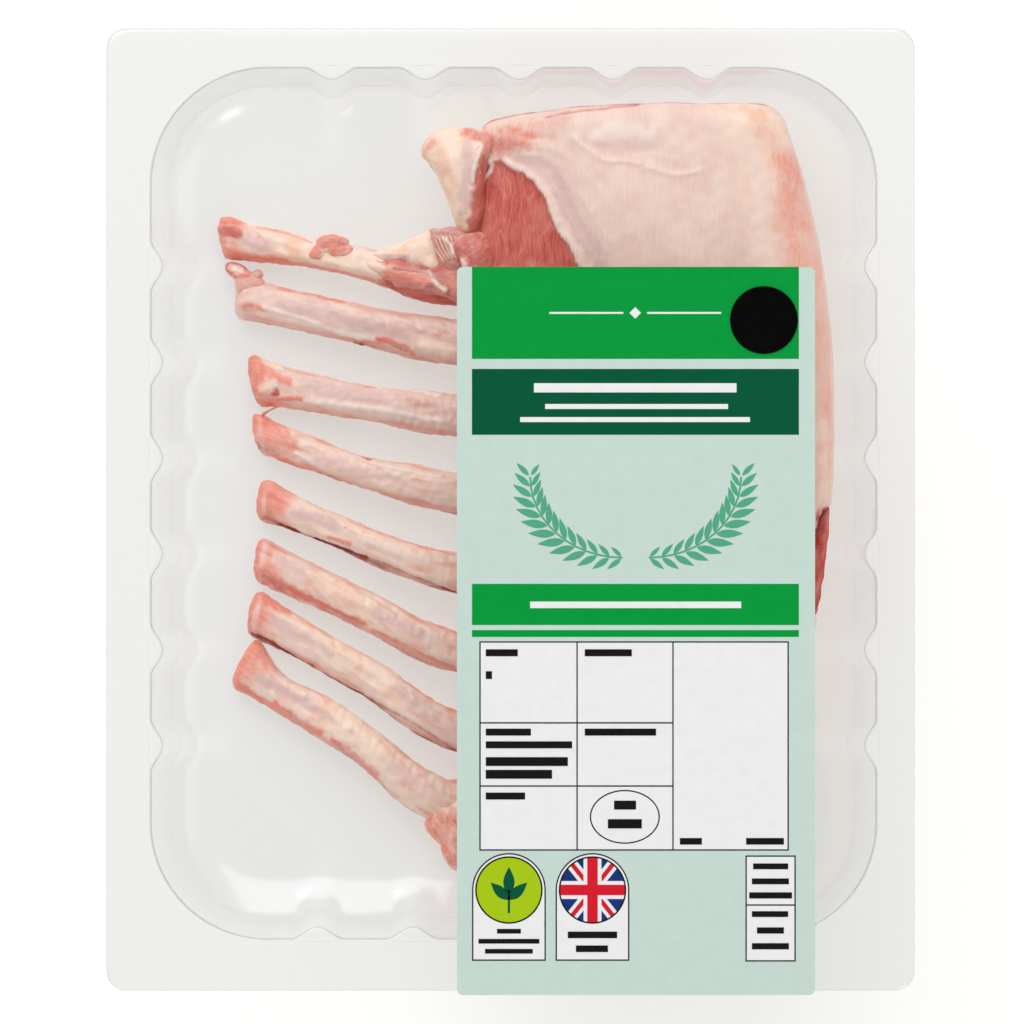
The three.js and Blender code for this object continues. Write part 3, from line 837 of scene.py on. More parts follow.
# Plain bars that stand for small print.
BLACK_BARS = [
    (7.5, 15.8, 99.3, 101.1), (7.5, 9.1, 105.0, 107.0), (33.2, 45.4, 99.3, 101.1),
    (7.5, 19.2, 119.9, 121.7), (7.5, 29.9, 123.2, 125.0), (7.5, 28.8, 127.3, 129.6),
    (7.5, 24.7, 130.6, 132.9), (33.2, 51.7, 119.9, 121.7), (7.5, 17.7, 136.5, 138.3),
    (40.8, 46.5, 138.6, 140.9), (39.2, 48.0, 143.4, 145.8), (57.9, 63.6, 148.3, 150.0),
    (75.1, 84.9, 148.3, 150.0), (10.4, 16.6, 171.9, 173.1), (5.6, 21.4, 174.5, 175.7),
    (7.3, 19.7, 177.1, 178.3), (28.8, 41.6, 172.6, 174.3), (30.9, 39.2, 176.2, 177.9),
    (76.9, 86.0, 154.9, 156.4), (76.6, 86.2, 158.8, 160.3), (75.9, 87.0, 162.4, 164.0),
    (76.6, 86.0, 167.3, 168.8), (77.9, 84.9, 171.5, 173.1), (76.6, 86.2, 175.6, 177.2),
]
WHITE_BARS = [
    (22.9, 70.4, 35.6, 36.9), (16.4, 76.1, 39.0, 40.3), (19.0, 73.8, 86.9, 88.6),
    (20.0, 72.6, 30.2, 32.6), (24.0, 43.2, 11.7, 12.2), (49.4, 68.6, 11.7, 12.2),
]
WHITE_DIAMOND = (46.3, 11.95, 1.5)

# The wreath of two sprigs: where its foot stands, and how wide and tall each half is.
SPRIG = (46.4, 75.5, 24.0, 21.0)
SPRIG_GAP = 3.4
SPRIG_PAIRS = 12
STEM_HALF = 0.25
LEAF_LEAN = 0.7
LEAF_START = 0.45
INNER_LEAF = 0.8

# The sizes of the sprigs' end leaves and of their longest ones.
LEAF_SIZES = (4.6, 7.2)

# The badge's shoot: how far below the disc's middle each leaf starts, its heading and its size, how
# slender the leaves are, and the stalk's half width and length.
SHOOT = ((1.0, math.pi / 2, 7), (2.5, 0.75, 6.5), (2.5, math.pi - 0.75, 6.5))
SHOOT_SLENDER = 0.42
STALK = (0.3, 6)


def on_label(points):
    """Places right of and down from the label's upper left corner, as places in plan."""
    low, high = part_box("label")
    corner = np.array([low.x, high.y]) / MM
    return corner + np.asarray(points, float) * [1, -1]


def rectangle(left, right, top, bottom):
    return on_label([(left, bottom), (right, bottom), (right, top), (left, top)])


def grown(field, edge):
    """A field made larger by the same width all round."""
    left, right, top, bottom = field
    return left - edge, right + edge, top - edge, bottom + edge


def ellipse(x, y, half_width, half_height, count=72):
    angle = np.arange(count) / count * TURN
    return on_label(np.column_stack([x + half_width * np.cos(angle), y - half_height * np.sin(angle)]))


def arch(x, y, radius, bottom, count=40):
    """A badge: straight sides and a flat foot under a half circle."""
    angle = np.linspace(0, math.pi, count)
    head = np.column_stack([x + radius * np.cos(angle), y - radius * np.sin(angle)])
    return on_label(np.vstack([head, [(x - radius, bottom), (x + radius, bottom)]]))


def diamond(x, y, reach):
    return on_label([(x - reach, y), (x, y + reach), (x + reach, y), (x, y - reach)])


def leaf(x, y, angle, size, slender=0.3, count=14):
    """A pointed leaf from its stalk at x, y: its half width follows a sine along its length."""
    part = np.linspace(0, 1, count)
    half = slender * size / 2 * np.sin(math.pi * part**0.8)
    along = np.concatenate([part, part[-2:0:-1]]) * size
    across = np.concatenate([half, -half[-2:0:-1]])
    right = along * math.cos(angle) - across * math.sin(angle)
    up = along * math.sin(angle) + across * math.cos(angle)
    return on_label(np.column_stack([x + right, y - up]))


def plate(outline, low, high):
    """A flat plate: the outline at both heights, closed by a fan on either side."""
    rings = np.stack([np.column_stack([outline, np.full(len(outline), z)]) for z in (low, high)])
    return with_middles(rings), ring_faces(2, len(outline))


def border(outer, inner, low, high, closed=True):
    """A flat frame between two outlines with as many points each, or a ribbon between two lines."""
    count = len(outer)
    rings = [(outer, low), (outer, high), (inner, high), (inner, low)]
    points = np.concatenate([np.column_stack([ring, np.full(count, z)]) for ring, z in rings])
    index = np.arange(4 * count).reshape(4, count)
    after, ahead = np.roll(index, -1, axis=0), np.roll(index, -1, axis=1)
    quads = np.stack([index, ahead, np.roll(after, -1, axis=1), after], -1)
    if closed:
        return points, [quads.reshape(-1, 4)]
    ends = np.stack([index[:, 0], index[::-1, -1]])
    return points, [quads[:, :-1].reshape(-1, 4), ends]


def line_border(field, edge):
    """The outlines on either side of a field's edge."""
    return rectangle(*grown(field, edge / 2)), rectangle(*grown(field, -edge / 2))


def sprigs(low, high):
    """Two herb sprigs that curve up from the middle like an open wreath: each stem is a quarter of
    an ellipse, with leaves in pairs that are longest halfway."""
    x, y, wide, tall = SPRIG
    shapes = []
    for side in (-1, 1):
        turn = np.linspace(0, math.pi / 2, SPRIG_PAIRS + 1)
        stem = np.column_stack([x + side * (SPRIG_GAP + wide * np.sin(turn)), y - tall * (1 - np.cos(turn))])
        slope = np.gradient(stem, axis=0)
        slope /= np.linalg.norm(slope, axis=1, keepdims=True)
        across = np.column_stack([-slope[:, 1], slope[:, 0]]) * STEM_HALF * side
        shapes.append(border(on_label(stem - across), on_label(stem + across), low, high, closed=False))
        heading = np.arctan2(-slope[:, 1], slope[:, 0])
        for pair, ((foot_x, foot_y), angle, share) in enumerate(zip(stem, heading, turn / turn[-1])):
            size = between(*LEAF_SIZES, math.sin(math.pi * share))
            lift = PRINT_STEP * (pair % 2)
            for lean in (LEAF_LEAN, -LEAF_LEAN):
                start = LEAF_START * math.cos(angle + lean), LEAF_START * math.sin(angle + lean)
                reach = size * (INNER_LEAF if lean * side > 0 else 1)
                outline = leaf(foot_x + start[0], foot_y - start[1], angle + lean, reach)
                shapes.append(plate(outline, low + lift, high + lift))
    return shapes


def badge_leaves():
    """A plain three-leaved shoot for the lime badge."""
    x, y = BADGES[0]
    half, drop = STALK
    leaves = [leaf(x, y + shift, angle, size, SHOOT_SLENDER) for shift, angle, size in SHOOT]
    return [rectangle(x - half, x + half, y, y + drop), *leaves]


def paper_finish(name, base, gloss=0.05):
    """Coated paper or ink on it, with a faint mottle in its colour and in its roughness."""
    finish = Finish(name)
    mottle = finish.noise(finish.place(), 260.0, 1.0)
    lighter = tuple(min(1, part * 1.03 + 0.002) for part in base)
    darker = tuple(part * 0.96 for part in base)
    values = {
        "Base_Color": finish.blend(mottle, darker, lighter),
        "Roughness": 0.44 + 0.12 * mottle,
        "Specular_IOR_Level": gloss,
    }
    return finish.done(finish.principled(**values))


def flag_finish(colours):
    """The roundel of a common flag: a red upright cross on white, and white and red slanting bars
    on blue, from distances to the middle lines of its bars."""
    finish = Finish("roundel_print")
    x, y, _ = finish.parts(finish.place())
    centre = on_label([BADGES[1]])[0] * MM
    right, up = x - float(centre[0]), y - float(centre[1])
    unit = DISC_RADIUS * MM

    def bar(distance, half):
        return 1 - finish.rise(distance, (half - 0.01) * unit, (half + 0.01) * unit)

    upright = abs(right).math("MINIMUM", abs(right), abs(up))
    rising = abs(right * 0.78 - up * 0.62)
    falling = abs(right * 0.78 + up * 0.62)
    slanting = rising.math("MINIMUM", rising, falling)
    field = finish.blend(bar(slanting, 0.17), colours.navy, colours.white)
    field = finish.blend(bar(slanting, 0.07), field, colours.scarlet)
    field = finish.blend(bar(upright, 0.27), field, colours.white)
    field = finish.blend(bar(upright, 0.16), field, colours.scarlet)
    mottle = finish.noise(finish.place(), 260.0, 2.0)
    values = {"Base_Color": field, "Roughness": 0.44 + 0.12 * mottle, "Specular_IOR_Level": 0.1}
    return finish.done(finish.principled(**values))


class PACK_OT_label(bpy.types.Operator):
    """Print the label and finish its paper and the sticker"""

    bl_idname = "lamb_pack.label"
    bl_label = "Label"

    def execute(self, context):
        colours = context.scene.lamb_colours
        papers = (
            ("label", colours.paper, 0.05, "label_paper"),
            ("sticker", STICKER_BLACK, 0.02, "black_paper"),
        )
        for node, base, gloss, slot in papers:
            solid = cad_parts[node]
            solid.data.materials.clear()
            solid.data.materials.append(paper_finish(node + "_paper", base, gloss))
        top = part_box("label")[1].z / MM

        def layer(step):
            low = top + PRINT_GAP + step * PRINT_STEP
            return low, low + PRINT_THICKNESS

        def printed(name, base, shapes):
            points, faces = joined(shapes)
            finish = base if isinstance(base, bpy.types.Material) else paper_finish(name, base)
            add_mesh(name, points, faces, finish, smooth_faces=False)

        first, second, third, fourth = (layer(step) for step in range(4))
        printed("print_green", colours.green, [plate(rectangle(*field), *first) for field in GREEN_FIELDS])
        printed("print_sprig", colours.sprig, sprigs(*first))
        badges = [arch(x, y, BADGE_RADIUS, BADGE_BOTTOM) for x, y in BADGES]
        fields = [rectangle(*TABLE), rectangle(*FACTS), *badges]
        white = [plate(outline, *first) for outline in fields]
        white += [plate(rectangle(*bar), *second) for bar in WHITE_BARS]
        white.append(plate(diamond(*WHITE_DIAMOND), *second))
        printed("print_white", colours.white, white)
        darks = [plate(rectangle(*DARK_FIELD), *first)]
        printed("print_dark_green", colours.dark_green, darks)
        discs = [ellipse(*badge, DISC_RADIUS, DISC_RADIUS) for badge in BADGES]
        printed("print_lime", colours.lime, [plate(discs[0], *second)])
        printed("print_roundel", flag_finish(colours), [plate(discs[1], *second)])
        printed("print_shoot", colours.dark_green, [plate(outline, *third) for outline in badge_leaves()])
        left, right, upper, lower = TABLE
        black = [plate(rectangle(x - RULE / 2, x + RULE / 2, upper, lower), *second) for x in TABLE_COLUMNS]
        black += [
            plate(rectangle(left, TABLE_COLUMNS[1], y - RULE / 2, y + RULE / 2), *third) for y in TABLE_ROWS
        ]
        left, right = FACTS[:2]
        middle = (left, right, FACTS_DIVIDER - RULE / 2, FACTS_DIVIDER + RULE / 2)
        black.append(plate(rectangle(*middle), *third))
        black += [border(*line_border(field, RULE), *second) for field in (TABLE, FACTS)]
        x, y, wide, tall = OVAL
        black.append(border(ellipse(x, y, wide, tall), ellipse(x, y, wide - RULE, tall - RULE), *second))
        for x, y in BADGES:
            shapes = [arch(x, y, BADGE_RADIUS + edge, BADGE_BOTTOM + edge) for edge in (RULE / 2, -RULE / 2)]
            black.append(border(*shapes, *second))
            rim = [ellipse(x, y, DISC_RADIUS + edge, DISC_RADIUS + edge) for edge in DISC_RIM]
            black.append(border(*rim, *third))
        black += [plate(rectangle(*bar), *fourth) for bar in BLACK_BARS]
        printed("print_black", colours.black, black)
        return {"FINISHED"}


# ---------------------------------------------------------------- tissue

TISSUES = ("muscle", "fat", "salmon", "cool", "dark", "pale")
MARK_CORE = 0.08
MARK_REACH = 1.15


def bare(shape):
    """No share of any tissue but silverskin, everywhere."""
    return {tissue: np.zeros(shape) for tissue in TISSUES}


def lay(layers, tissue, share):
    """Covers a share of what is there with one tissue, or with silverskin."""
    for key in layers:
        layers[key] *= 1 - share
    if tissue != "skin":
        layers[tissue] += share


def paint(layers, rings, shown, marks, seed, ragged=0.22):
    """Lays marks on the shown side: each is a tissue, how much of it, its half width, its height and
    the line in plan that it follows.  Returns how far they stand up."""
    relief = np.zeros(rings.shape[:2])
    wobble = ragged * waves(rings, 2.6, seed) + 0.5 * ragged * waves(rings, 1.1, seed + 1)
    for tissue, amount, width, height, route in marks:
        reach = distance_to(rings[..., :2], route) / width + wobble
        share = shown * (1 - smooth(MARK_CORE, MARK_REACH, reach))
        lay(layers, tissue, amount * share)
        relief += height * share
    return relief


def tissue_finish(name, colours, fibre=(0.16, 1.5), rough=0.36, moist=1.0, deep=None):
    """Flesh from the shares of its tissues: silverskin with pale strands over it, fibrous muscle with
    marbling, cream fat, red trim, bone that shows through, deep red that also serves as painted shade,
    and white strands that also serve as painted highlights.  Noise makes each edge uneven.  The fibres
    follow the grain, stretched noise in the piece's own directions.  A moist surface has a gloss and a
    thin coat, a dry one neither.  Another deep red can be given."""
    finish = Finish(name)
    grain = finish.field("grain", "Vector")
    soft = finish.noise(grain, 0.16, 1.0)
    drift = finish.noise(grain, 0.35, 0.0, output="Color")
    bent = finish.moved(grain, finish.scaled(drift, 1.2, 1.2, 1.2))
    lengthwise = finish.scaled(bent, fibre[0], fibre[1], fibre[1])
    strand = finish.noise(lengthwise, 1.0, 2.0, 0.6)
    thread = finish.noise(finish.scaled(bent, 0.07, 0.34, 0.34), 1.0, 0.0)
    fine = finish.noise(grain, 1.7, 2.0, 0.6)
    vein = 1 - finish.rise(abs(thread - 0.5), 0.004, 0.04)

    def share(tissue, ragged):
        return finish.rise(finish.field(tissue) + ragged * (fine - 0.5) + ragged * (soft - 0.5), 0.06, 0.94)

    skin = finish.blend(finish.rise(soft, 0.3, 0.7), colours.skin, colours.skin_beige)
    skin = finish.blend(0.2 * finish.rise(strand, 0.45, 0.8), skin, colours.pale)
    skin = finish.blend(0.14 * finish.rise(0.55 - strand, 0.0, 0.3), skin, colours.muscle_pale)
    lean = finish.blend(finish.rise(strand, 0.28, 0.56), colours.muscle_deep, colours.muscle)
    lean = finish.blend(0.45 * finish.rise(strand, 0.54, 0.8), lean, colours.muscle_pale)
    lean = finish.blend(0.3 * finish.rise(soft, 0.4, 0.65), lean, colours.muscle_pale)
    lean = finish.blend(0.15 * vein, lean, colours.fat_peach)
    cream = finish.blend(finish.rise(soft + 0.25 * (fine - 0.5), 0.42, 0.72), colours.fat, colours.fat_peach)
    trim = finish.blend(0.2 + 0.6 * finish.rise(strand, 0.25, 0.75), colours.salmon, colours.salmon_light)
    # The pale strands' colour, which also gives the painted highlights.
    white = finish.blend(0.3 * strand, colours.pale, colours.skin)
    flesh = skin
    for tissue, ragged, shade in (
        ("cool", 0.4, colours.cool),
        ("fat", 0.3, cream),
        ("salmon", 0.35, trim),
        ("muscle", 0.25, lean),
        ("dark", 0.3, deep or colours.dark),
        ("pale", 0.3, white),
    ):
        flesh = finish.blend(share(tissue, ragged), flesh, shade)
    height = strand * (0.35 + 0.15 * finish.field("muscle")) + 0.35 * fine
    values = {
        "Base_Color": flesh,
        "Roughness": rough - 0.08 + 0.2 * fine,
        "Normal": finish.bump(height, 0.0003, 0.35),
        "Coat_Weight": 0.2 * moist * (1 - finish.field("dark")),
        "Coat_Roughness": 0.2,
        "Specular_IOR_Level": 0.35 * moist,
    }
    return finish.done(finish.principled(**values))


def carried(line, half_width, half_height, squareness, angle):
    """Squarish ovals carried along a line.  Returns the rings, the line's side and up directions,
    and the cosine and sine of each point of the section."""
    ahead = np.gradient(line, axis=0)
    ahead /= np.linalg.norm(ahead, axis=1, keepdims=True)
    side = np.column_stack([ahead[:, 1], -ahead[:, 0], np.zeros(len(line))])
    side /= np.linalg.norm(side, axis=1, keepdims=True)
    up = np.cross(side, ahead)
    c, s = squarish(angle, squareness)
    rings = line[:, None] + (half_width[:, None] * c)[..., None] * side[:, None]
    return rings + (half_height[:, None] * s)[..., None] * up[:, None], side, up, c, s


def grain_of(line, c, s, half_width, half_height):
    """Where each point lies in the piece's own directions: along it, across it and up."""
    along = np.repeat(run_along(line)[:, None], len(c), axis=1)
    return np.dstack([along, half_width[:, None] * c, half_height[:, None] * s])


# ---------------------------------------------------------------- loin

LOIN = {
    "top": 105.6, "bottom": -97, "left": -9, "bow_centre": 28, "bow_right": 84.5, "bow_top": 0.0024,
    "bow_bottom": 0.0015, "low_left": 10, "high_left": 29, "low_right": 3.4, "high_right": 41,
    "swell_centre": 10, "swell_reach": 100, "swell_loss": 0.08, "end_round": 5, "end_drop": 0.7,
    "end_slope": 5, "slope_from": 34, "slope_run": 43, "squareness": 2.7,
}
LOIN_WAVES = {"height": 1.2, "length": 17, "cross_length": 31, "turn": 2, "cross_turn": 3}
LOIN_COLUMNS = 300

# The step between the loin's rings under the label, where the finer step starts, and the finer step.
LOIN_STEPS = (1.15, 56, 0.62)

# The cut muscle that shows at the loin's upper left, and the fold of silverskin along it.
FACE = [
    (-12, 91), (-5.4, 91.2), (-2.5, 92), (0.5, 89.9), (3.5, 88.6), (6.9, 85.7), (9.5, 81.9), (11, 77.8),
    (12.5, 73.7), (15.5, 70), (17.3, 66.6), (19.5, 61), (22, 52), (20, 44), (-12, 40),
]
FACE_FOLD = [(-1.5, 91.6), *FACE[3:13]]

# Marks on the loin: tissue, share, half width, height, line in plan.
LOIN_MARKS = [
    ("salmon", 0.4, 3.8, 0, [(0, 98.4), (7, 100.2), (14, 101.8)]),
    ("salmon", 0.9, 5.2, 0.2, [(-10, 96.5), (-3, 96), (2.6, 96.2)]),
    ("muscle", 0.6, 4.0, 0.2, [(-8, 96.4), (-2, 95.8), (1, 95.4)]),
    ("pale", 0.25, 0.9, 0.2, [(3.1, 98.9), (7.1, 99.1), (10.8, 98.4)]),
    ("pale", 0.2, 0.8, 0.2, [(2.4, 97.4), (5.2, 96.4), (9.6, 96.4)]),
    ("salmon", 0.25, 1.6, -0.2, [(3.6, 97.6), (7.5, 97.4), (11, 97)]),
    ("pale", 0.9, 0.75, 0.3, [(-8, 94.7), (-9.2, 91.3), (-9.9, 88.7), (-10.1, 85.6)]),
    ("pale", 0.9, 0.75, 0.3, [(-5.4, 91.6), (-5.6, 89.4), (-8.4, 85.7), (-9.5, 82.2)]),
    ("salmon", 0.5, 1.1, 0, [(-7.2, 92.5), (-7.6, 89), (-9.2, 86)]),
    ("pale", 0.75, 1.0, 0.5, FACE_FOLD),
    ("cool", 0.85, 3.4, -0.25, [(2.8, 92), (8.4, 90), (12.2, 85.8), (14.6, 80), (17.6, 74.4), (21.6, 68),
                                (24.6, 60)]),
    ("pale", 0.4, 0.9, 0.25, [(3.1, 93.1), (8.7, 92.7), (12.5, 90.1), (15.5, 84.9), (19.9, 80.1),
                              (23.6, 74.1), (27.4, 68.5)]),
    ("pale", 0.3, 0.8, 0.2, [(9.4, 88.2), (12.3, 83.4), (14.8, 78.2), (18.2, 72.4), (22.6, 65.6)]),
    ("pale", 0.2, 0.8, 0.2, [(7.7, 95), (12.3, 93.9), (16.8, 90.5), (21.2, 85.6), (26.4, 78.8)]),
    ("cool", 0.3, 1.5, -0.15, [(6, 94), (11, 91.8), (14.4, 87.6), (18, 81.8)]),
    # Painted highlight: the pale glare on the skin near the top edge.
    ("pale", 0.75, 3.4, 0.3, [(22.2, 97.6), (28.4, 99.4), (36.2, 98.6)]),
    ("cool", 0.5, 1.8, -0.1, [(22, 95.2), (30, 94.8), (37, 94.6)]),
    ("fat", 0.75, 0.85, 0.35, [(16.5, 97.5), (19.9, 94.6), (24.7, 91.6), (31, 91.3), (36.1, 89.8),
                               (41.9, 88), (45.6, 88), (49.6, 89.1)]),
    ("pale", 0.45, 0.8, 0, [(30, 92.6), (38, 93.2), (44, 91.6)]),
    ("pale", 0.2, 5, 0, [(40, 78), (50, 76), (60, 72)]),
    ("pale", 0.35, 2.6, 0.15, [(61.5, 101), (64, 86), (65.5, 64), (67, 40)]),
    ("fat", 0.8, 6.0, 0.2, [(61.5, 102.4), (66.4, 101), (69.4, 96.6)]),
    ("salmon", 0.3, 4.0, 0, [(66, 99), (69, 95)]),
    ("salmon", 0.3, 4.6, 0.1, [(72.4, 90), (72.4, 87.4)]),
    ("salmon", 0.3, 5.6, 0.1, [(71.6, 81), (72.2, 74)]),
    ("salmon", 0.25, 5.6, 0.1, [(73.4, 66), (75, 58)]),
    ("muscle", 0.6, 0.6, -0.4, [(9, 102.9), (18, 104.5), (33.6, 105.9)]),
]

# Marks low on the loin's right side.
SIDE_MARKS = [
    ("fat", 0.4, 2.4, 0, [(81.4, 23), (82, 12), (81.8, 2)]),
    ("muscle", 0.9, 4.2, -1.5, [(82.4, -1.5), (82, -7), (81, -16), (79.8, -24)]),
]


def loin_right(y):
    """Where the loin's right side lies at each place along it."""
    bow = np.where(y > LOIN["bow_centre"], LOIN["bow_top"], LOIN["bow_bottom"])
    return LOIN["bow_right"] - bow * (y - LOIN["bow_centre"]) ** 2


def loin_places():
    """Places along the loin, closer together where the meat shows, each with how far the section
    has shrunk there: the ends round off through quarter circles down to a small last ring."""
    low, high, end = LOIN["bottom"], LOIN["top"], LOIN["end_round"]
    coarse, middle, fine = LOIN_STEPS
    rows = np.concatenate([np.arange(low + end, middle, coarse), np.arange(middle, high - end, fine)])
    turns = np.radians(np.linspace(6, 90, 12))
    reach, drawn = end * np.sin(turns), end * (1 - np.cos(turns))
    inner = np.linspace(1, 0, 10)[1:-1]
    first, last, cap = (np.full(len(inner), value) for value in (low, high, end))
    places = np.concatenate([first, low + end - reach[::-1], rows, high - end + reach, last])
    shrink = np.concatenate([cap, drawn[::-1], np.zeros(len(rows)), drawn, cap])
    scale = np.concatenate([inner[::-1], np.ones(len(turns) + len(rows) + len(turns)), inner])
    return places, shrink, scale


def loin_rings():
    """The loin's rings: squarish ovals whose right side follows a parabola, whose floor and crown
    rise from left to right, with two slow waves, and an upper end that slopes back on the left."""
    y, shrink, scale = (values[:, None] for values in loin_places())
    c, s = squarish(-np.arange(LOIN_COLUMNS) / LOIN_COLUMNS * TURN, LOIN["squareness"])
    left, right = LOIN["left"] + shrink, loin_right(y) - shrink
    x = (left + right) / 2 + (right - left) / 2 * c * scale
    across = (c * scale + 1) / 2
    low = between(LOIN["low_left"], LOIN["low_right"], across)
    swell = 1 - LOIN["swell_loss"] * ((y - LOIN["swell_centre"]) / LOIN["swell_reach"]) ** 2
    wave = LOIN_WAVES["height"] * np.sin(y / LOIN_WAVES["length"] + LOIN_WAVES["turn"] * c)
    wave = wave * np.cos(y / LOIN_WAVES["cross_length"] - LOIN_WAVES["cross_turn"] * c)
    high = between(LOIN["high_left"], LOIN["high_right"], across) * swell + wave * scale
    z = (low + high) / 2 + ((high - low) / 2 - LOIN["end_drop"] * shrink) * s * scale
    upper = np.clip((y - LOIN["bottom"]) / (LOIN["top"] - LOIN["bottom"]), 0, 1)
    back = LOIN["end_slope"] * upper * np.clip((LOIN["slope_from"] - x) / LOIN["slope_run"], 0, 1) ** 2
    ends = np.broadcast_to(shrink / LOIN["end_round"], x.shape)
    return np.dstack([x, y - back + PACK_SHIFT, z]), c, s, ends


class PACK_OT_loin(bpy.types.Operator):
    """Make the loin with its silverskin, cut muscle and fat"""

    bl_idname = "lamb_pack.loin"
    bl_label = "Loin"

    def execute(self, context):
        depth = mm(context.scene.lamb_sizes.face_depth)
        rings, c, s, ends = loin_rings()
        x, y, z = rings[..., 0], rings[..., 1], rings[..., 2]
        normal = outward(rings, rings.mean(1))
        up = normal[..., 2]
        shown = smooth(0.05, 0.45, up)
        layers = bare(x.shape)
        rim = loin_right(y) - x
        uneven, broad = waves(rings, 9, 5), waves(rings, 26, 6)
        lay(layers, "salmon", 0.42 * smooth(0.5, -0.1, up) * smooth(20, 60, x))
        lay(layers, "fat", 0.5 * smooth(0.5, -0.1, up) * smooth(45, 75, x) * (0.8 + 0.4 * uneven))
        lay(layers, "fat", 0.8 * smooth(25, 11, rim + 2 * broad) * smooth(-30, 40, y) * shown)
        lay(layers, "salmon", 0.44 * smooth(19, 2, rim + 2.5 * broad + uneven) * shown)
        lay(layers, "pale", 0.2 * smooth(17, 11, rim) * smooth(5, 9, rim) * shown)
        lay(layers, "muscle", 0.85 * smooth(0.6, 0.0, up) * smooth(20, 2, x))
        lay(layers, "muscle", 0.9 * smooth(0.35, 0.8, ends + 0.15 * uneven) * smooth(0.5, 0.1, up))
        lay(layers, "cool", 0.5 * smooth(-0.3, -0.8, up))
        inside = depth_inside(rings[..., :2], FACE) + 0.35 * waves(rings, 3, 8)
        lay(layers, "muscle", smooth(-0.7, 0.9, inside) * shown)
        relief = -depth * smooth(0, 1.6, inside) * shown
        relief += paint(layers, rings, shown, LOIN_MARKS, 12)
        relief += paint(layers, rings, smooth(-0.4, 0, up), SIDE_MARKS, 14)
        relief += 0.35 * waves(rings, 14, 3) + 0.1 * waves(rings, 3.5, 4) * (1 - 0.5 * layers["muscle"])
        rings = rings + normal * relief[..., None]
        grain = np.dstack([y, x, z])
        finish = tissue_finish("loin_flesh", context.scene.lamb_colours)
        fields = {**layers, "grain": grain}
        add_loft("loin_block", rings, finish, ["loin"], fields)
        return {"FINISHED"}


# ---------------------------------------------------------------- ribs

# Each rib: its sawn tip, a point halfway and its root in plan, its widths there, and how far the saw
# cut slants along it.
RIBS = [
    ([-75.7, 71.3], [-44, 65.5], [-14, 58.5], (11.5, 7.6, 11), 3.4),
    ([-71.8, 55.4], [-40, 48.6], [-14, 43.6], (10.2, 10.2, 12), 1.3),
    ([-67.8, 33.6], [-40, 28.2], [-14, 24.5], (12, 9.2, 11), 5.4),
    ([-66.8, 20.4], [-40, 10.4], [-14, 4.4], (9.6, 8.2, 11), 6),
    ([-65.8, 3.2], [-40, -8], [-14, -16.6], (10.6, 8.2, 10.4), 3),
    ([-66.5, -12.6], [-38, -26.2], [-14, -37.4], (11, 9.8, 10), 4),
    ([-67.9, -26.6], [-38, -43.4], [-14, -57.8], (11.4, 9.6, 10.4), 3.6),
    ([-70.8, -40.4], [-40, -60.4], [-17, -76.5], (12, 9.8, 12), 1.3),
]
RIB_SPINE = {"x": 64, "inset": 8, "first_y": 62, "pitch": 20.9}
RIB_COLUMNS = 72
RIB_SQUARENESS = 2.6
RIB_BASE = 1.2
FACET_FALL = 1.6

# A rib's rings behind its face, along a length of 138: the first, the step as far as the label
# hides it, where that is, the step beyond, and the end.
RIB_STEPS = (2.2, 0.5, 70, 2.2, 138)

# The rounded sawn face: how large its rings are and how far along the rib they lie.
RIB_FACE_SCALES = (0.1, 0.28, 0.45, 0.61, 0.74, 0.85, 0.93, 0.98)
RIB_FACE_PLACES = (0, 0.02, 0.06, 0.16, 0.34, 0.65, 1.1, 1.7)

# How red each rib's tip is, the dark line along its lower side, deep red flesh that also serves as painted
# shade, and how creamy its upper side is.
RIB_TONES = [
    (0.85, 0.35, 0.8), (0.3, 0.4, 0.35), (0.75, 0.3, 0.25), (0.8, 0.4, 0.7),
    (0.85, 0.6, 0.9), (0.7, 0.4, 0.9), (0.7, 0.6, 0.9), (0.65, 0.2, 0.9),
]

# How far a rib's upper side spreads at its tip, and further along.
RIB_EARS = {2: (0.8, 0), 7: (2.4, -1.5)}

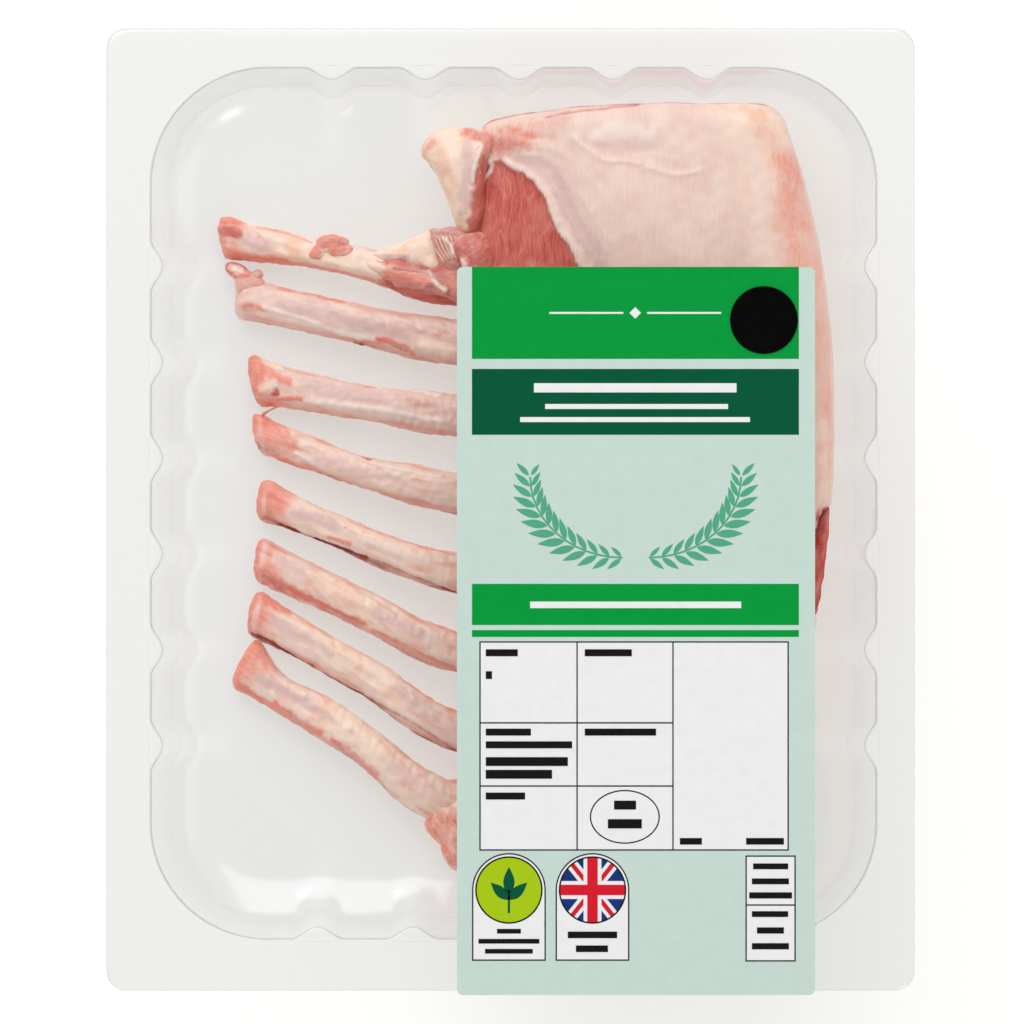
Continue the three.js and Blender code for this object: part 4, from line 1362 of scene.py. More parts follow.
# Marks on each rib: tissue, share, half width, height, line in plan.
RIB_MARKS = [
    [
        ("fat", 0.9, 4.4, 0.1, [(-60, 69.6), (-50, 68), (-42, 66), (-34, 64)]),
        ("salmon", 0.85, 3.4, 0.3, [(-75.2, 74.5), (-72.6, 74.4)]),
        ("muscle", 0.7, 2.2, 0.2, [(-75, 73), (-72.4, 74)]),
        ("muscle", 0.5, 2.8, 0, [(-72.4, 72.4), (-68.4, 71)]),
        ("cool", 0.7, 3.0, 0, [(-68.5, 71), (-64, 69.4)]),
        ("muscle", 0.8, 1.3, -0.3, [(-73.1, 72.6), (-70.8, 72.6)]),
        ("muscle", 0.5, 0.8, -0.2, [(-65.8, 71.8)]),
        ("salmon", 0.9, 1.6, 0.2, [(-74.7, 67.9), (-70.2, 66.9), (-64.5, 66.1), (-59, 65.4)]),
        ("salmon", 0.6, 0.9, 0, [(-59.9, 65.2), (-52.1, 64), (-44.8, 62.6), (-37.8, 60.6),
                                 (-32.1, 58.8)]),
        ("pale", 0.7, 1.0, 0.2, [(-68, 75.4), (-60, 73.8), (-52, 71)]),
        ("salmon", 0.5, 0.6, 0, [(-66, 74.2), (-58, 72.4), (-52, 70)]),
        ("cool", 0.7, 2.2, 0, [(-31.3, 65.4), (-26.6, 64.2)]),
        ("salmon", 0.5, 1.5, 0, [(-35.4, 65.1), (-32.9, 64.1)]),
        ("muscle", 0.95, 3.6, 0, [(-33, 58.6), (-25, 56.6), (-16, 54.4), (-8, 52.6)]),
    ],
    [
        ("cool", 0.75, 3.0, 0, [(-59.9, 53.8), (-49.5, 52), (-37.8, 48.8), (-28, 46.8)]),
        ("salmon", 0.85, 1.5, 0.3, [(-69.7, 53.7), (-67.4, 53.8), (-64.5, 53)]),
        ("muscle", 0.7, 0.9, -0.2, [(-69.6, 53.6), (-67.2, 53.8)]),
        ("pale", 0.75, 0.7, 0.3, [(-64.5, 53.5), (-59.9, 52.2), (-52.1, 49.6), (-44.8, 46.8),
                                  (-39.1, 45.5), (-34, 45.3)]),
        ("salmon", 0.6, 1.4, 0, [(-60, 59), (-50, 56.6), (-44, 55)]),
        ("dark", 0.9, 0.8, 0.3, [(-40.6, 43.9), (-38.8, 43.6)]),
        ("salmon", 0.95, 1.3, 0.2, [(-34.5, 45), (-30, 43.9), (-25.6, 41.6)]),
        ("dark", 0.6, 0.6, -0.2, [(-31, 43.4), (-27, 41.9)]),
        ("muscle", 0.35, 1.6, 0, [(-31, 48.4), (-22, 46.6)]),
        ("fat", 0.85, 2.2, 0.3, [(-22.5, 43.8), (-16, 41.7)]),
    ],
    [
        ("salmon", 0.9, 3.0, 0.2, [(-67.6, 39), (-66.4, 36), (-66.9, 32.5)]),
        ("salmon", 0.7, 1.6, 0, [(-64, 36), (-58, 34)]),
        ("fat", 0.9, 1.2, 0.3, [(-65, 39.3), (-60, 37.7)]),
        ("fat", 0.8, 1.5, 0.2, [(-64.8, 32.4), (-61.9, 33.4)]),
        ("muscle", 0.95, 1.9, -0.5, [(-61.4, 30.5)]),
        ("salmon", 0.95, 0.9, 0.2, [(-63, 28.8), (-58, 29.6), (-54, 29.2), (-50, 28)]),
        ("salmon", 0.9, 0.9, -0.2, [(-66.6, 30), (-64.5, 28.4), (-62.2, 27.4)]),
        ("cool", 0.6, 2.6, 0, [(-54, 33.6), (-44, 31.4), (-34, 29.8)]),
        ("pale", 0.75, 1.1, 0.3, [(-53.4, 28.9), (-41.7, 27.6), (-30, 26), (-18.3, 23.8)]),
        # Painted highlight: pale glints along the rib's upper edge.
        ("pale", 0.85, 0.5, 0.2, [(-34.7, 32.3), (-28.7, 31.9), (-18.3, 30.4)]),
        ("muscle", 0.4, 2.2, 0, [(-26.1, 28.6), (-20.9, 27.6)]),
        ("cool", 0.6, 1.6, 0, [(-19, 26.4), (-14, 25.6)]),
    ],
    [
        ("salmon", 0.6, 4.2, 0, [(-65, 23), (-61.2, 20.4), (-57.3, 17.6)]),
        ("salmon", 0.9, 1.5, 0.2, [(-66.8, 24.8), (-66.9, 20), (-66.5, 16.8)]),
        # Painted highlight: a pale line down the sawn tip.
        ("pale", 0.2, 0.8, 0.3, [(-65.8, 24.6), (-65.7, 18.4)]),
        ("muscle", 0.8, 1.1, 0, [(-66.4, 18.2), (-65, 16.8), (-62, 15.6)]),
        ("salmon", 0.7, 0.9, 0, [(-64.5, 16.2), (-57.3, 12.5), (-50, 9.6)]),
        # Painted highlight: a pale glint along the rib.
        ("pale", 0.7, 0.7, 0.2, [(-56, 15.2), (-52.1, 12.9), (-48.7, 11.6)]),
        ("muscle", 0.95, 0.9, -0.3, [(-42, 16.6), (-39.1, 15.3), (-36.6, 14)]),
        ("cool", 0.5, 2.4, 0, [(-50, 13.4), (-40, 10.6), (-28, 7.6)]),
        ("pale", 0.6, 0.7, 0.2, [(-36, 12.9), (-28, 10.8), (-18, 9)]),
    ],
    [
        ("salmon", 0.6, 4.4, 0, [(-64.5, 4.4), (-61.4, 3.4), (-59.3, 2)]),
        ("salmon", 0.9, 1.6, 0.2, [(-66.2, 7), (-66.2, 3), (-65.6, -1)]),
        # Painted highlight: a pale line down the sawn tip.
        ("pale", 0.2, 0.8, 0.3, [(-64.4, 5.4), (-64.2, 0)]),
        ("cool", 0.85, 2.4, 0, [(-56.7, -0.4), (-51.6, -1.5), (-45.6, -3.4)]),
        ("muscle", 0.5, 0.9, -0.2, [(-43.1, -4.3)]),
        # Dark lines along the lower edge: deep red flesh and painted shade.
        ("dark", 0.7, 0.8, -0.3, [(-60, -3.7), (-53.4, -6.5), (-45.6, -9.3), (-37.8, -12.2)]),
        ("dark", 0.5, 0.6, -0.2, [(-64.5, -1.7), (-53.4, -6.5), (-37.8, -12.2), (-25.3, -16.8),
                                  (-14.2, -21.5)]),
        ("salmon", 0.85, 0.9, 0.2, [(-47.5, -6.6), (-42.1, -8.3)]),
        ("pale", 0.5, 0.9, 0.2, [(-40, -6.6), (-30, -11), (-16, -15.4)]),
    ],
    [
        ("salmon", 0.85, 1.5, 0.2, [(-65.4, -8), (-66.4, -11.5), (-67, -15)]),
        # Painted highlight: a pale line down the sawn tip.
        ("pale", 0.2, 0.8, 0.3, [(-64.4, -7.2), (-64.9, -11.3), (-65.4, -15.2)]),
        ("cool", 0.6, 2.2, 0, [(-61, -12), (-54, -15.6)]),
        ("salmon", 0.9, 2.4, 0, [(-65, -16.4), (-60, -19.2), (-55, -21.8)]),
        ("muscle", 0.65, 1.6, -0.3, [(-64.5, -16.8), (-60, -19.6), (-56, -21.8)]),
        ("salmon", 0.95, 1.2, 0, [(-58, -20.2), (-53, -22.6), (-49.5, -24.4), (-43, -27.4),
                                  (-38.6, -29)]),
        ("muscle", 0.7, 0.9, 0, [(-46.9, -25.6), (-43, -27.2), (-39.6, -28.4)]),
        ("cool", 0.75, 2.0, 0, [(-35.4, -26.6), (-30, -29), (-23.5, -32)]),
        ("fat", 0.6, 2.2, 0.1, [(-46, -20.6), (-36, -24)]),
        ("salmon", 0.6, 0.8, 0, [(-36, -31), (-26, -35.6), (-14, -41.6)]),
    ],
    [
        ("salmon", 0.85, 1.7, 0.2, [(-66.6, -21), (-68, -26.1), (-69.4, -30.4)]),
        # Painted highlight: a pale line down the sawn tip.
        ("pale", 0.2, 0.8, 0.3, [(-64.9, -21.4), (-66.2, -25.4), (-67.4, -29.4)]),
        ("salmon", 0.6, 2.6, 0, [(-64, -23), (-58, -25.4)]),
        ("cool", 0.75, 2.4, 0, [(-62, -28.6), (-54, -33), (-47, -37)]),
        # Dark lines along the lower edge: deep red flesh and painted shade.
        ("dark", 0.75, 0.9, -0.4, [(-67.8, -32.1), (-63.1, -34.3), (-60.6, -35.7), (-51.8, -40.8)]),
        ("dark", 0.5, 0.6, -0.2, [(-51.8, -40.8), (-37.5, -48.5), (-28.7, -53.3), (-14.2, -62.5)]),
        ("fat", 0.75, 2.6, 0.1, [(-46, -34.6), (-38, -39.4), (-31, -43.6)]),
        ("salmon", 0.7, 1.3, 0, [(-21, -47.6), (-14.2, -52)]),
        ("cool", 0.5, 2.0, 0, [(-30, -46), (-22, -50.6)]),
    ],
    [
        ("salmon", 0.8, 2.4, 0.2, [(-67.6, -36), (-70.8, -40.6), (-72, -44)]),
        ("salmon", 0.45, 3.2, 0, [(-66, -37), (-60, -41)]),
        ("cool", 0.85, 2.2, 0, [(-65.6, -43.7), (-57.3, -47.9), (-46.9, -53.8)]),
        ("fat", 0.95, 3.0, 0.3, [(-48, -50), (-42, -54.4), (-37, -58.2), (-33, -62)]),
        ("salmon", 0.85, 1.2, 0, [(-70.6, -45.6), (-64.5, -49.4), (-60, -51.6)]),
        ("salmon", 0.95, 1.4, 0.2, [(-61.5, -50), (-58, -52.6), (-54.4, -55.2), (-49.7, -57.4)]),
        ("muscle", 0.45, 0.9, 0, [(-60, -51), (-56, -54), (-51, -56.8)]),
        ("salmon", 0.95, 1.8, 0.3, [(-45.8, -60.2), (-43, -62.8), (-40.4, -65), (-35.3, -68.4)]),
        ("muscle", 0.55, 1.2, 0, [(-45, -61), (-41, -64.6), (-36.4, -67.8)]),
        ("salmon", 0.4, 1.0, 0, [(-34, -60), (-28, -66), (-20, -72)]),
        ("cool", 0.4, 3.0, 0, [(-31, -66), (-25, -71)]),
    ],
]


def rib_places(rib, spine, sizes):
    """The rib's middle line from its sawn face: how far the section has shrunk at each row, the
    line, and how far along it each row lies."""
    first, fine, middle, coarse, end = RIB_STEPS
    part = np.concatenate([np.arange(first, middle, fine), np.arange(middle, end, coarse)]) / end
    spread = np.linspace(0, 1, 400)
    plan = np.array([*rib[:3], spine], float)
    share = (plan[:, 0] - plan[0, 0]) / (spine[0] - plan[0, 0])
    level = RIB_BASE + mm(sizes.rib_thickness) / 2 + mm(sizes.rib_rise) * np.sin(math.pi * share)
    line = centripetal(np.column_stack([plan, level]), spread)
    place = np.concatenate([RIB_FACE_PLACES, part * run_along(line)[-1]])
    scale = np.concatenate([RIB_FACE_SCALES, np.ones(len(part))])
    return walk(line, place), scale, place


def straight_tip(centre, place):
    """The rib's middle line with its first rows, which lie close together, on one straight line."""
    first = len(RIB_FACE_PLACES) + 1
    after = first + 3
    slope = (centre[after] - centre[first]) / (place[after] - place[first])
    line = centre.copy()
    line[:first] = centre[first] + (place[:first] - place[first])[:, None] * slope
    return line


def rib_width(rib, x):
    """It flares at the sawn tip, is narrowest halfway and widens to the root."""
    (tip, middle, root), (wide, narrow, end) = rib[:3], rib[3]
    flare = (middle[0] - x) / (middle[0] - tip[0])
    outer = narrow + (wide - narrow) * np.clip(flare, 0, None) ** 2
    inner = between(narrow, end, smooth(middle[0], root[0], x))
    return np.where(x < middle[0], outer, inner)


def rib_piece(index, rib, sizes, finish):
    """One rib: squarish ovals along its line, bevelled on the lower side, with a slanted sawn face,
    lumps stretched along the bone, and its own marks."""
    halfway = (len(RIBS) - 1) / 2
    spine_x = RIB_SPINE["x"] - RIB_SPINE["inset"] * ((index - halfway) / halfway) ** 2
    spine = (spine_x, RIB_SPINE["first_y"] - RIB_SPINE["pitch"] * index)
    centre, scale, place = rib_places(rib, spine, sizes)
    centre[:, 1] += PACK_SHIFT
    half = rib_width(rib, centre[:, 0]) / 2
    rise = np.full(len(centre), mm(sizes.rib_thickness) / 2)
    angle = -np.arange(RIB_COLUMNS) / RIB_COLUMNS * TURN
    line = straight_tip(centre, place)
    rings, side, up, c, s = carried(line, half * scale, rise * scale, RIB_SQUARENESS, angle)
    ahead = np.cross(up, side)
    slant = rib[4] / 2 * scale * np.exp(-(place / 9))
    rings += (slant[:, None] * c)[..., None] * ahead[:, None]
    across = c * scale[:, None]
    facet = mm(sizes.facet)
    bevel = mm(sizes.bevel) * smooth(0.35, 1.05, across) * smooth(-0.1, 0.5, s)
    rings[..., 2] -= bevel * smooth(0, 0.8, scale)[:, None]
    rings[..., 2] -= FACET_FALL * smooth(facet, 0, place)[:, None] * np.clip(s, 0, 1) * scale[:, None]
    grain = grain_of(line, c, s, half * scale, rise * scale) + [40 * index, 0, 0]
    stretched = grain * [0.3, 1, 1]
    normal = outward(rings, line)
    top = smooth(0.0, 0.5, s) * np.ones(rings.shape[:2])
    run = place[:, None]
    body = smooth(0.5, 4, run)
    layers = bare(rings.shape[:2])
    patch = 0.5 + 0.5 * waves(stretched, 7, 60 + index)
    small = 0.5 + 0.5 * waves(stretched, 2.4, 64 + index)
    redness, underline, cream = RIB_TONES[index]
    bone = top * body
    lay(layers, "fat", bone * (cream - 0.25 * patch))
    lay(layers, "cool", 0.55 * bone * smooth(0.8, 0.1, np.abs(across + 0.12)) * (0.1 + 0.9 * patch))
    lay(layers, "salmon", 0.42 * bone * smooth(0.28, 1.0, small))
    # Painted highlights: a pale line along the edge between the top and the bevelled lower side, and a
    # fainter one along the upper edge.
    edge = smooth(0.2, 0.02, np.abs(across - 0.5 - 0.08 * patch)) * (0.4 + 0.6 * small)
    lay(layers, "pale", 0.6 * bone * edge)
    lay(layers, "pale", 0.2 * bone * smooth(0.2, 0.02, np.abs(across + 0.74 - 0.08 * patch)))
    lay(layers, "salmon", 0.62 * body * smooth(0.6, 0.86, across) * (0.5 + 0.5 * patch))
    lay(layers, "salmon", 0.5 * body * smooth(-0.8, -0.96, across) * (0.4 + 0.6 * patch))
    # Deep red along the lower edge: red flesh, darkened further as painted shade under the rib's edge.
    lay(layers, "dark", underline * body * smooth(0.83, 0.92, across) * (0.55 + 0.45 * small))
    lay(layers, "salmon", redness * smooth(13, 2, run) * (0.5 + 0.5 * patch))
    lay(layers, "salmon", 0.5 * redness * smooth(facet, 0.5 * facet, run) * (0.6 + 0.4 * small))
    # Painted highlight: a pale line along the sawn face's edge.
    lay(layers, "pale", 0.22 * smooth(1.2, 0.1, np.abs(run - facet)) * top)
    lay(layers, "fat", 0.7 * smooth(-0.1, -0.6, s) * body)
    relief = paint(layers, rings, smooth(-0.1, 0.15, s) + 0 * top, RIB_MARKS[index], 80 + index)
    lumps = waves(stretched, 5, 90 + index) + 0.4 * waves(stretched, 1.8, 95 + index)
    relief = relief + mm(sizes.unevenness) * lumps * smooth(-1, 2, run) + 0.14 * waves(grain, 2.2, 99 + index)
    relief = relief + 0.3 * np.exp(-(((run - facet - 0.3) / 1.1) ** 2)) * (0.5 + 0.5 * small)
    ear, waist = RIB_EARS.get(index, (0, 0))
    spread = ear * np.exp(-((run / 6) ** 2)) + waist * np.exp(-(((run - 13) / 7) ** 2))
    rings = rings - (spread * np.clip(-c, 0, 1))[..., None] * side[:, None]
    rings = rings + normal * relief[..., None]
    fields = {**layers, "grain": grain}
    return add_loft(f"rib_bone_{index + 1}", rings, finish, [f"rib_{index + 1}"], fields)


class PACK_OT_ribs(bpy.types.Operator):
    """Make the eight scraped ribs"""

    bl_idname = "lamb_pack.ribs"
    bl_label = "Ribs"

    def execute(self, context):
        finish = tissue_finish("rib_flesh", context.scene.lamb_colours, (0.12, 1.1), 0.34)
        for index, rib in enumerate(RIBS):
            rib_piece(index, rib, context.scene.lamb_sizes, finish)
        return {"FINISHED"}


# ---------------------------------------------------------------- flesh at the roots, fat and scraps

# Points round a soft body and round a strand, their rings, and how square their sections are.
PILLOW_COLUMNS = 144
PILLOW_ROWS = 64
PILLOW_SQUARENESS = 2.5
STRAND_COLUMNS = 20
STRAND_STEP = 0.35
STRAND_SQUARENESS = 2.1


def closed_curve(points, count):
    """A centripetal curve through the points and back to the first, at even steps of its spans."""
    loop = np.array([*points[-2:], *points, *points[:3]], float)
    return centripetal(loop, (2 + np.arange(count) / count * len(points)) / (len(points) + 4))


def pillow_piece(name, shape, finish, seed, replaced=()):
    """A soft body over a closed outline: rings shrink towards the outline's middle by a power of the
    cosine while the level rises by a power of the sine, from the floor to a leaning crown."""
    rim = closed_curve(shape["outline"], PILLOW_COLUMNS) + [0, PACK_SHIFT]
    centre = rim.mean(0)
    turn = np.linspace(-math.pi / 2, math.pi / 2, PILLOW_ROWS + 2)[1:-1, None]
    inner, level = squarish(turn, PILLOW_SQUARENESS)
    plan = centre + inner[..., None] * (rim - centre)
    floor, crown = shape["floor"], shape["crown"]
    height = between(floor, crown, (1 + level) / 2)
    height = height + (plan - centre) @ shape.get("lean", (0, 0)) * (0.5 + 0.5 * level)
    rings = np.dstack([plan, height])
    normal = outward(rings, np.column_stack([np.tile(centre, (PILLOW_ROWS, 1)), height.mean(1)]))
    shown = smooth(-0.1, 0.4, normal[..., 2])
    layers = bare(rings.shape[:2])
    patch = 0.5 + 0.5 * waves(rings, 4, seed + 4)
    for tissue, share in shape["base"]:
        lay(layers, tissue, share * (0.75 + 0.25 * patch))
    relief = paint(layers, rings - [0, PACK_SHIFT, 0], shown, shape.get("marks", ()), seed)
    lumps = shape.get("lumps", 0.3)
    relief = relief + lumps * waves(rings, 5, seed + 2) + 0.3 * lumps * waves(rings, 1.8, seed + 3)
    rings = rings + normal * (relief * smooth(0, 0.5, inner))[..., None]
    heading = math.radians(shape.get("heading", 0))
    along = plan @ [math.cos(heading), math.sin(heading)]
    across = plan @ [-math.sin(heading), math.cos(heading)]
    fields = {**layers, "grain": np.dstack([along, across, rings[..., 2]]) + [seed * 7.0, 0, 0]}
    return add_loft(name, rings, finish, replaced, fields)


def strand_rings(route, radii, flatness, seed):
    """A strand along a line in space: an oval whose half width follows the radii and closes at both
    ends, with small lumps."""
    route = np.array(route, float) + [0, PACK_SHIFT, 0]
    spread = centripetal(route, np.linspace(0, 1, 200))
    whole = run_along(spread)[-1]
    place = np.linspace(0, whole, int(whole / STRAND_STEP))
    line = walk(spread, place)
    half = np.interp(place / whole, np.linspace(0, 1, len(radii)), radii)
    ends = np.sqrt(1 - np.clip(1 - np.minimum(place, whole - place) / half, 0, 0.98) ** 2)
    half = half * ends
    angle = -np.arange(STRAND_COLUMNS) / STRAND_COLUMNS * TURN
    rings, _, _, c, s = carried(line, half, half * flatness, STRAND_SQUARENESS, angle)
    normal = outward(rings, line)
    lumps = 0.16 * half[:, None] * waves(rings, 2.4, seed)
    return rings + normal * lumps[..., None], grain_of(line, c, s, half, half * flatness)


# Soft bodies over closed outlines: the outline in plan, the heights of floor and crown, how the crown
# leans along X and Y, tissue shares, marks, the grain's heading in degrees and the lumps' height.
FLAP = {
    "outline": [(-23.2, 92.8), (-22.5, 96.5), (-19.3, 98.8), (-15.7, 99.6), (-12.3, 99.8), (-8, 99.2),
                (-4.8, 97.4), (-4.8, 93.6), (-6, 89), (-6.8, 83), (-7, 76), (-9, 71.2), (-12.1, 72.2),
                (-14, 73.8), (-15.7, 78.8), (-18, 84.5), (-20.6, 89.4)],
    "floor": 9, "crown": 27, "lean": (0.25, 0.12), "heading": 70, "lumps": 0.3,
    "base": [("fat", 1.0)],
    "marks": [
        ("salmon", 0.55, 2.2, 0, [(-22.6, 92.4), (-20.4, 96)]),
        ("cool", 0.65, 3.4, 0, [(-11, 95.4), (-11, 90), (-11.6, 84), (-12.2, 79)]),
        ("salmon", 0.9, 3.0, 0, [(-6.4, 96), (-6.8, 91)]),
        ("muscle", 0.95, 4.2, 0, [(-6.2, 90), (-7.4, 84), (-8.4, 77), (-9, 71)]),
        ("pale", 0.8, 0.7, 0.3, [(-7.4, 95), (-8.8, 91.3), (-9.6, 88.7), (-9.9, 85.6)]),
        ("salmon", 0.9, 3.0, 0, [(-11, 98.4), (-9, 98), (-5, 97)]),
        ("muscle", 0.5, 2.4, 0, [(-9, 97.8), (-5.4, 95.6)]),
        ("muscle", 0.85, 1.1, 0, [(-21.2, 89.4), (-18.6, 83.8), (-16.2, 78.2), (-14.4, 73.2)]),
        ("pale", 0.4, 0.4, 0.1, [(-19.8, 87.9), (-17.6, 83), (-15.4, 77.8), (-13.8, 74)]),
    ],
}


# Where the first slanting stripe starts, turns and ends, and how far the next one lies from it.
STRIPE = [(-20.2, 69.9), (-19, 67.2), (-17.4, 64.6)]
STRIPE_PITCH = [(0.9, 0.3), (0.95, 0), (0.8, 0.3)]


def stripe(number, tissue, height, shift):
    """A slanting stripe on the cut flesh at the first rib's root, as a mark."""
    steps = zip(STRIPE, STRIPE_PITCH)
    route = [(x + across * number + shift, y + up * number) for (x, y), (across, up) in steps]
    return tissue, 0.42, 0.36, height, route


BODIES = {
    "root_meat": {
        "outline": [(-38.6, 64.3), (-33.9, 66), (-28.2, 66.5), (-22.2, 66.5), (-13.6, 67), (-6, 66),
                    (-1, 61.7), (-3, 54.4), (-9, 52.9), (-13.9, 54.2), (-17.5, 55.5), (-20.9, 56.4),
                    (-25.6, 57.4), (-29.5, 58.2), (-32.1, 60.1), (-35.4, 62)],
        "floor": 6, "crown": 18.5, "lean": (0.12, 0), "heading": -12, "lumps": 0.35,
        "base": [("salmon", 1.0), ("muscle", 0.85)],
        "marks": [
            ("fat", 0.9, 2.4, 0.3, [(-38, 64.4), (-34.6, 63.6), (-32.4, 61.8)]),
            ("salmon", 0.85, 2.3, 0.5, [(-32, 61.6), (-27, 60.6), (-22.6, 60)]),
            ("salmon", 0.75, 1.2, 0, [(-31, 58.9), (-25, 57.8), (-19, 56.6)]),
            ("dark", 0.6, 0.6, -0.3, [(-30.5, 62.8), (-26, 62.2), (-21, 61.6)]),
            ("salmon", 0.5, 1.2, 0.7, [(-21.7, 61.8), (-20, 59.4), (-17, 57)]),
            ("pale", 0.6, 0.7, 0.4, [(-21.2, 61.9), (-19.4, 59.3), (-16.6, 57.2)]),
            ("dark", 0.5, 0.8, -0.4, [(-19.4, 61.4), (-17.6, 58.6)]),
            ("salmon", 0.5, 1.6, 0.4, [(-15.6, 61), (-14.4, 57)]),
        ],
    },
    "root_fat": {
        "outline": [(-38.5, 66.5), (-34.4, 67.4), (-31.6, 68.2), (-27.4, 70.1), (-23.5, 71.9),
                    (-20.4, 73), (-19.4, 70.5), (-18.6, 66.6), (-17.6, 63.3), (-19, 62), (-22.7, 62.9),
                    (-25.8, 62.8), (-28.7, 64.6), (-33.5, 64.6)],
        "floor": 8, "crown": 18, "lean": (0.35, 0.05), "heading": 20, "lumps": 0.22,
        "base": [("fat", 1.0)],
        "marks": [
            ("cool", 0.7, 2.4, 0, [(-32, 65.6), (-28.6, 65.2), (-26.2, 64.6)]),
            ("salmon", 0.4, 1.2, 0, [(-36, 65.6), (-33, 65)]),
            ("salmon", 0.5, 0.8, 0, [(-27, 63.2), (-22, 63)]),
        ],
    },
    "root_stripes": {
        "outline": [(-21.2, 73), (-17, 73.4), (-12.3, 73.4), (-9, 72), (-9.5, 68.4), (-11.5, 65.8),
                    (-12.8, 62.6), (-16.2, 61.6), (-18.6, 63.4), (-19.4, 66.9), (-20.6, 70)],
        "floor": 9, "crown": 21.5, "lean": (0.15, 0.05), "heading": -60, "lumps": 0.35,
        "base": [("muscle", 0.8), ("salmon", 0.2)],
        "marks": [
            ("dark", 0.5, 1.2, -0.3, [(-20.6, 72.2), (-17, 72), (-13, 71.6)]),
            *(
                stripe(number, *kind)
                for number in range(6)
                for kind in (("pale", 0.25, 0), ("muscle", -0.25, 0.48))
            ),
            ("pale", 0.8, 0.5, 0.3, [(-17.4, 70.6), (-15.6, 69), (-15, 66.8)]),
        ],
    },
    "root_lump": {
        "outline": [(-15.4, 68.8), (-14.4, 70.8), (-12.1, 72.1), (-9.2, 72.5), (-5.8, 71.8), (-3.2, 69.5),
                    (-2.7, 65.8), (-3.8, 60), (-7.9, 57.6), (-12.2, 60.7), (-13.2, 65), (-14.8, 67.2)],
        "floor": 12, "crown": 25, "lean": (0.1, 0), "heading": 30, "lumps": 0.3,
        "base": [("salmon", 0.95), ("muscle", 0.85)],
        "marks": [
            ("pale", 0.25, 0.8, 0.2, [(-15, 69), (-12.8, 71.2), (-9.4, 72), (-5.4, 71.2)]),
            ("pale", 0.6, 1.8, 0.3, [(-12.6, 64.8), (-11.6, 62), (-10, 59.6)]),
            ("muscle", 0.5, 3.4, 0, [(-6, 68), (-4.6, 62)]),
        ],
    },
    "last_root": {
        "outline": [(-23, -76.6), (-22, -81.2), (-21.4, -84.3), (-20, -86.1), (-18.3, -87.4),
                    (-17.6, -89.5), (-16.9, -91.6), (-15.2, -93.6), (-12.6, -94.3), (-6, -94.6), (2, -92),
                    (6, -82), (2, -74), (-6.4, -71), (-13, -70.5), (-18.6, -72), (-21.6, -74)],
        "floor": 2.6, "crown": 17, "lean": (0.15, -0.2), "heading": -65, "lumps": 0.4,
        "base": [("fat", 1.0), ("salmon", 0.8)],
        "marks": [
            ("fat", 0.8, 4.6, 0, [(-22, -74), (-14, -76), (-6, -75)]),
            ("salmon", 0.8, 0.8, -0.1, [(-21.4, -79), (-20.8, -82), (-19.6, -85.4)]),
            ("muscle", 0.35, 0.5, -0.15, [(-19.2, -79.4), (-18.8, -82.6), (-18, -86)]),
            ("muscle", 0.3, 0.4, -0.15, [(-17.2, -80.6), (-17.4, -84), (-17, -86.4)]),
            ("fat", 0.3, 1.6, 0.4, [(-14.8, -84), (-15.8, -87), (-14.6, -89)]),
            ("muscle", 0.95, 1.0, -0.2, [(-14.6, -81.2), (-13.6, -83)]),
            ("salmon", 0.95, 2.4, 0.1, [(-17.4, -89.4), (-15.4, -92.6), (-12.4, -93)]),
            ("muscle", 0.6, 1.5, 0.1, [(-16.6, -91), (-15.2, -92.8), (-12.4, -93)]),
        ],
    },
    "side_meat": {
        "outline": [(82.8, 1), (83, -3), (82.7, -8), (82, -13.6), (81.2, -19), (80.4, -24), (79.4, -27.6),
                    (77.4, -24), (76.6, -17), (77.4, -10), (79.8, -4)],
        "floor": 12, "crown": 33, "lean": (-0.8, 0), "heading": 90, "lumps": 0.2,
        "base": [("muscle", 1.0), ("dark", 0.8)],
    },
    "tip_lump": {
        "outline": [(-52.9, 66), (-52.4, 68.2), (-50.8, 69.9), (-49.2, 71.2), (-46.6, 72), (-44.8, 71.7),
                    (-42.6, 70.3), (-42.4, 69.2), (-41, 68), (-41.1, 66.8), (-43, 66), (-45.6, 65.5),
                    (-48, 65.4), (-50.8, 65.2)],
        "floor": 8, "crown": 14.2, "heading": 20, "lumps": 0.35,
        "base": [("salmon", 1.0), ("muscle", 0.1)],
        "marks": [
            ("fat", 1.0, 1.7, -0.9, [(-47.8, 65), (-48.4, 67)]),
            ("muscle", 0.6, 1.3, 0.2, [(-49, 69.4), (-46, 70), (-43.6, 69.2)]),
            ("fat", 0.4, 0.9, 0, [(-45, 66.4), (-42.4, 67)]),
        ],
    },
    "tip_curl": {
        "outline": [(-74.4, 63), (-74.1, 64.3), (-72.8, 64.8), (-71, 64.5), (-69.5, 63.5), (-67.9, 62),
                    (-65, 60.6), (-64, 58.4), (-67.7, 56.6), (-71, 56.4), (-71.9, 58.6), (-72.3, 60.4),
                    (-73.6, 61.4)],
        "floor": 2.6, "crown": 9.6, "heading": -30, "lumps": 0.25,
        "base": [("salmon", 0.6), ("fat", 0.15)],
        "marks": [
            ("muscle", 0.75, 0.9, 0.3, [(-72.2, 61.2), (-74, 62.8), (-73.4, 64.3), (-71, 64.2),
                                        (-69.4, 63), (-68.4, 61.6)]),
            ("pale", 0.8, 0.8, -0.5, [(-72.4, 63.2), (-70.6, 62.6)]),
            ("salmon", 0.8, 0.8, 0.2, [(-72, 60.9), (-70, 61), (-68.6, 61.4)]),
        ],
    },
    "tip_bit": {
        "outline": [(-68.2, 61.2), (-67.6, 62), (-66.1, 62.8), (-65, 62.4), (-64.6, 61), (-66.1, 60.2)],
        "floor": 4, "crown": 9.4, "heading": 0, "lumps": 0.15,
        "base": [("muscle", 0.75), ("salmon", 0.4)],
    },
}

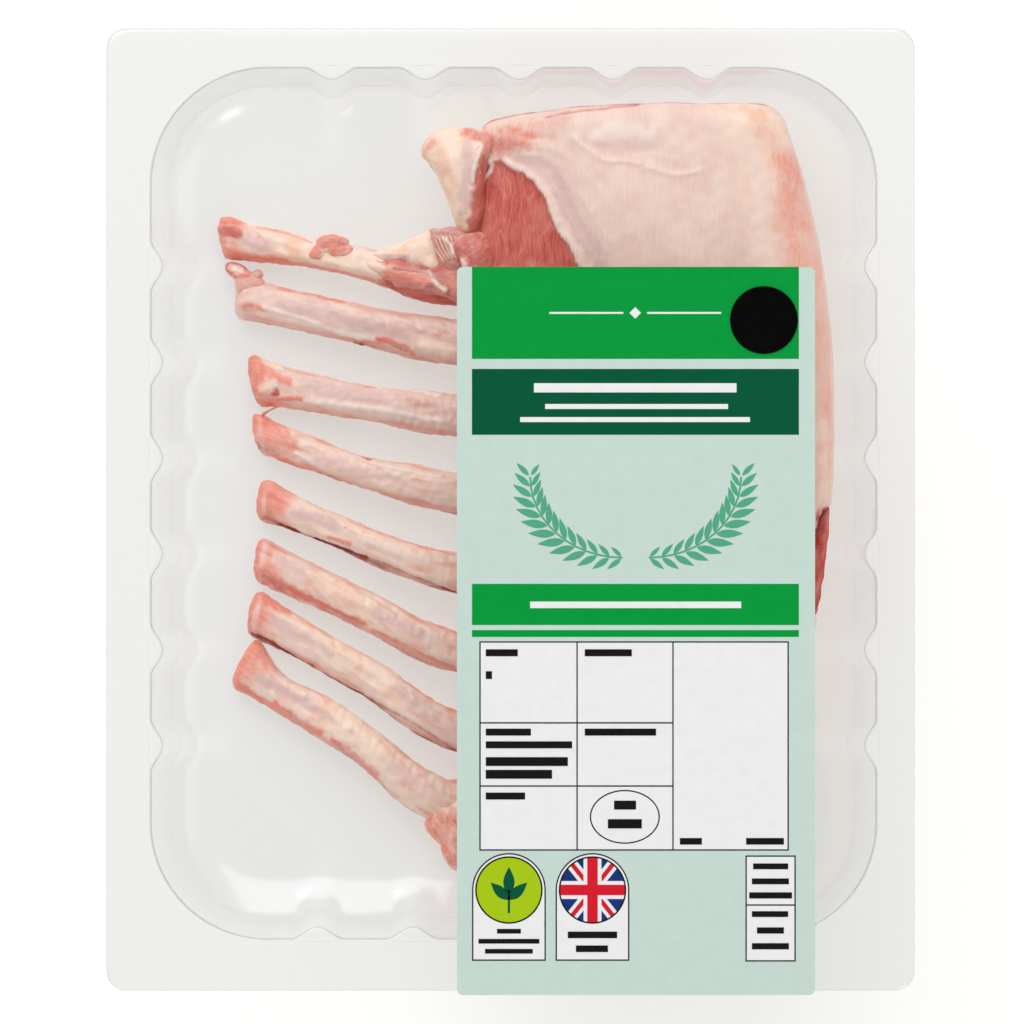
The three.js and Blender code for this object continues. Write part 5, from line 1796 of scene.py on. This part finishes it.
# A thread of flesh between two ribs: its route, its half widths along it, and its flatness.
THREAD_ROUTE = [(-58.8, 27.6, 6.6), (-61.6, 26.6, 5.4), (-63.5, 25.6, 5.4), (-65, 24.6, 6.6)]
THREAD_RADII = (0.5, 0.26, 0.24, 0.5)
THREAD_FLATNESS = 0.9


class PACK_OT_roots(bpy.types.Operator):
    """Make the flesh left at the first and the last rib, and the loose scraps on the bones"""

    bl_idname = "lamb_pack.roots"
    bl_label = "Roots and scraps"

    def execute(self, context):
        colours = context.scene.lamb_colours
        moist = tissue_finish("root_flesh", colours, (0.2, 1.6), 0.34)
        dry = tissue_finish("cut_flesh", colours, (0.2, 1.6), 0.6, 0.0, colours.crimson)
        for order, (name, shape) in enumerate(BODIES.items()):
            slot = "lamb_fat" if name == "root_fat" else "lamb_meat"
            replaced = ["loin"] if name in ("root_meat", "last_root") else []
            finish = dry if name == "side_meat" else moist
            pillow_piece(name, shape, finish, 140 + 10 * order, replaced)
        rings, grain = strand_rings(THREAD_ROUTE, THREAD_RADII, THREAD_FLATNESS, 250)
        layers = bare(rings.shape[:2])
        lay(layers, "salmon", 0.8)
        add_loft("thread", rings, moist, fields={**layers, "grain": grain})
        return {"FINISHED"}


class PACK_OT_fat_flap(bpy.types.Operator):
    """Make the wedge of fat at the loin's upper left corner"""

    bl_idname = "lamb_pack.fat_flap"
    bl_label = "Fat flap"

    def execute(self, context):
        finish = tissue_finish("flap_fat", context.scene.lamb_colours, (0.3, 0.9), 0.4)
        pillow_piece("fat_wedge", FLAP, finish, 120, ["fat_flap"])
        return {"FINISHED"}


# ---------------------------------------------------------------- panel and registration

STEPS = ("stage", "tray", "film", "label", "loin", "fat_flap", "ribs", "roots")


class PACK_PT_panel(bpy.types.Panel):
    """Lists the steps that build the pack's looks."""

    bl_idname = "PACK_PT_panel"
    bl_label = "Packed rack of lamb"
    bl_space_type = "VIEW_3D"
    bl_region_type = "UI"
    bl_category = "Lamb pack"

    def draw(self, context):
        for step in STEPS:
            self.layout.operator("lamb_pack." + step)


GROUPS = {
    "lamb_pack_sizes": PackSizes,
    "lamb_sizes": LambSizes,
    "lamb_colours": Colours,
    "lamb_stage": StageSizes,
}
CLASSES = (
    *GROUPS.values(),
    PACK_OT_stage,
    PACK_OT_tray,
    PACK_OT_film,
    PACK_OT_label,
    PACK_OT_loin,
    PACK_OT_fat_flap,
    PACK_OT_ribs,
    PACK_OT_roots,
    PACK_PT_panel,
)


def register():
    for kind in CLASSES:
        bpy.utils.register_class(kind)
    for name, kind in GROUPS.items():
        setattr(bpy.types.Scene, name, bpy.props.PointerProperty(type=kind))


def unregister():
    for name in GROUPS:
        delattr(bpy.types.Scene, name)
    for kind in reversed(CLASSES):
        bpy.utils.unregister_class(kind)


def main():
    register()
    for step in STEPS:
        getattr(bpy.ops.lamb_pack, step)()


if __name__ == "__main__":
    main()
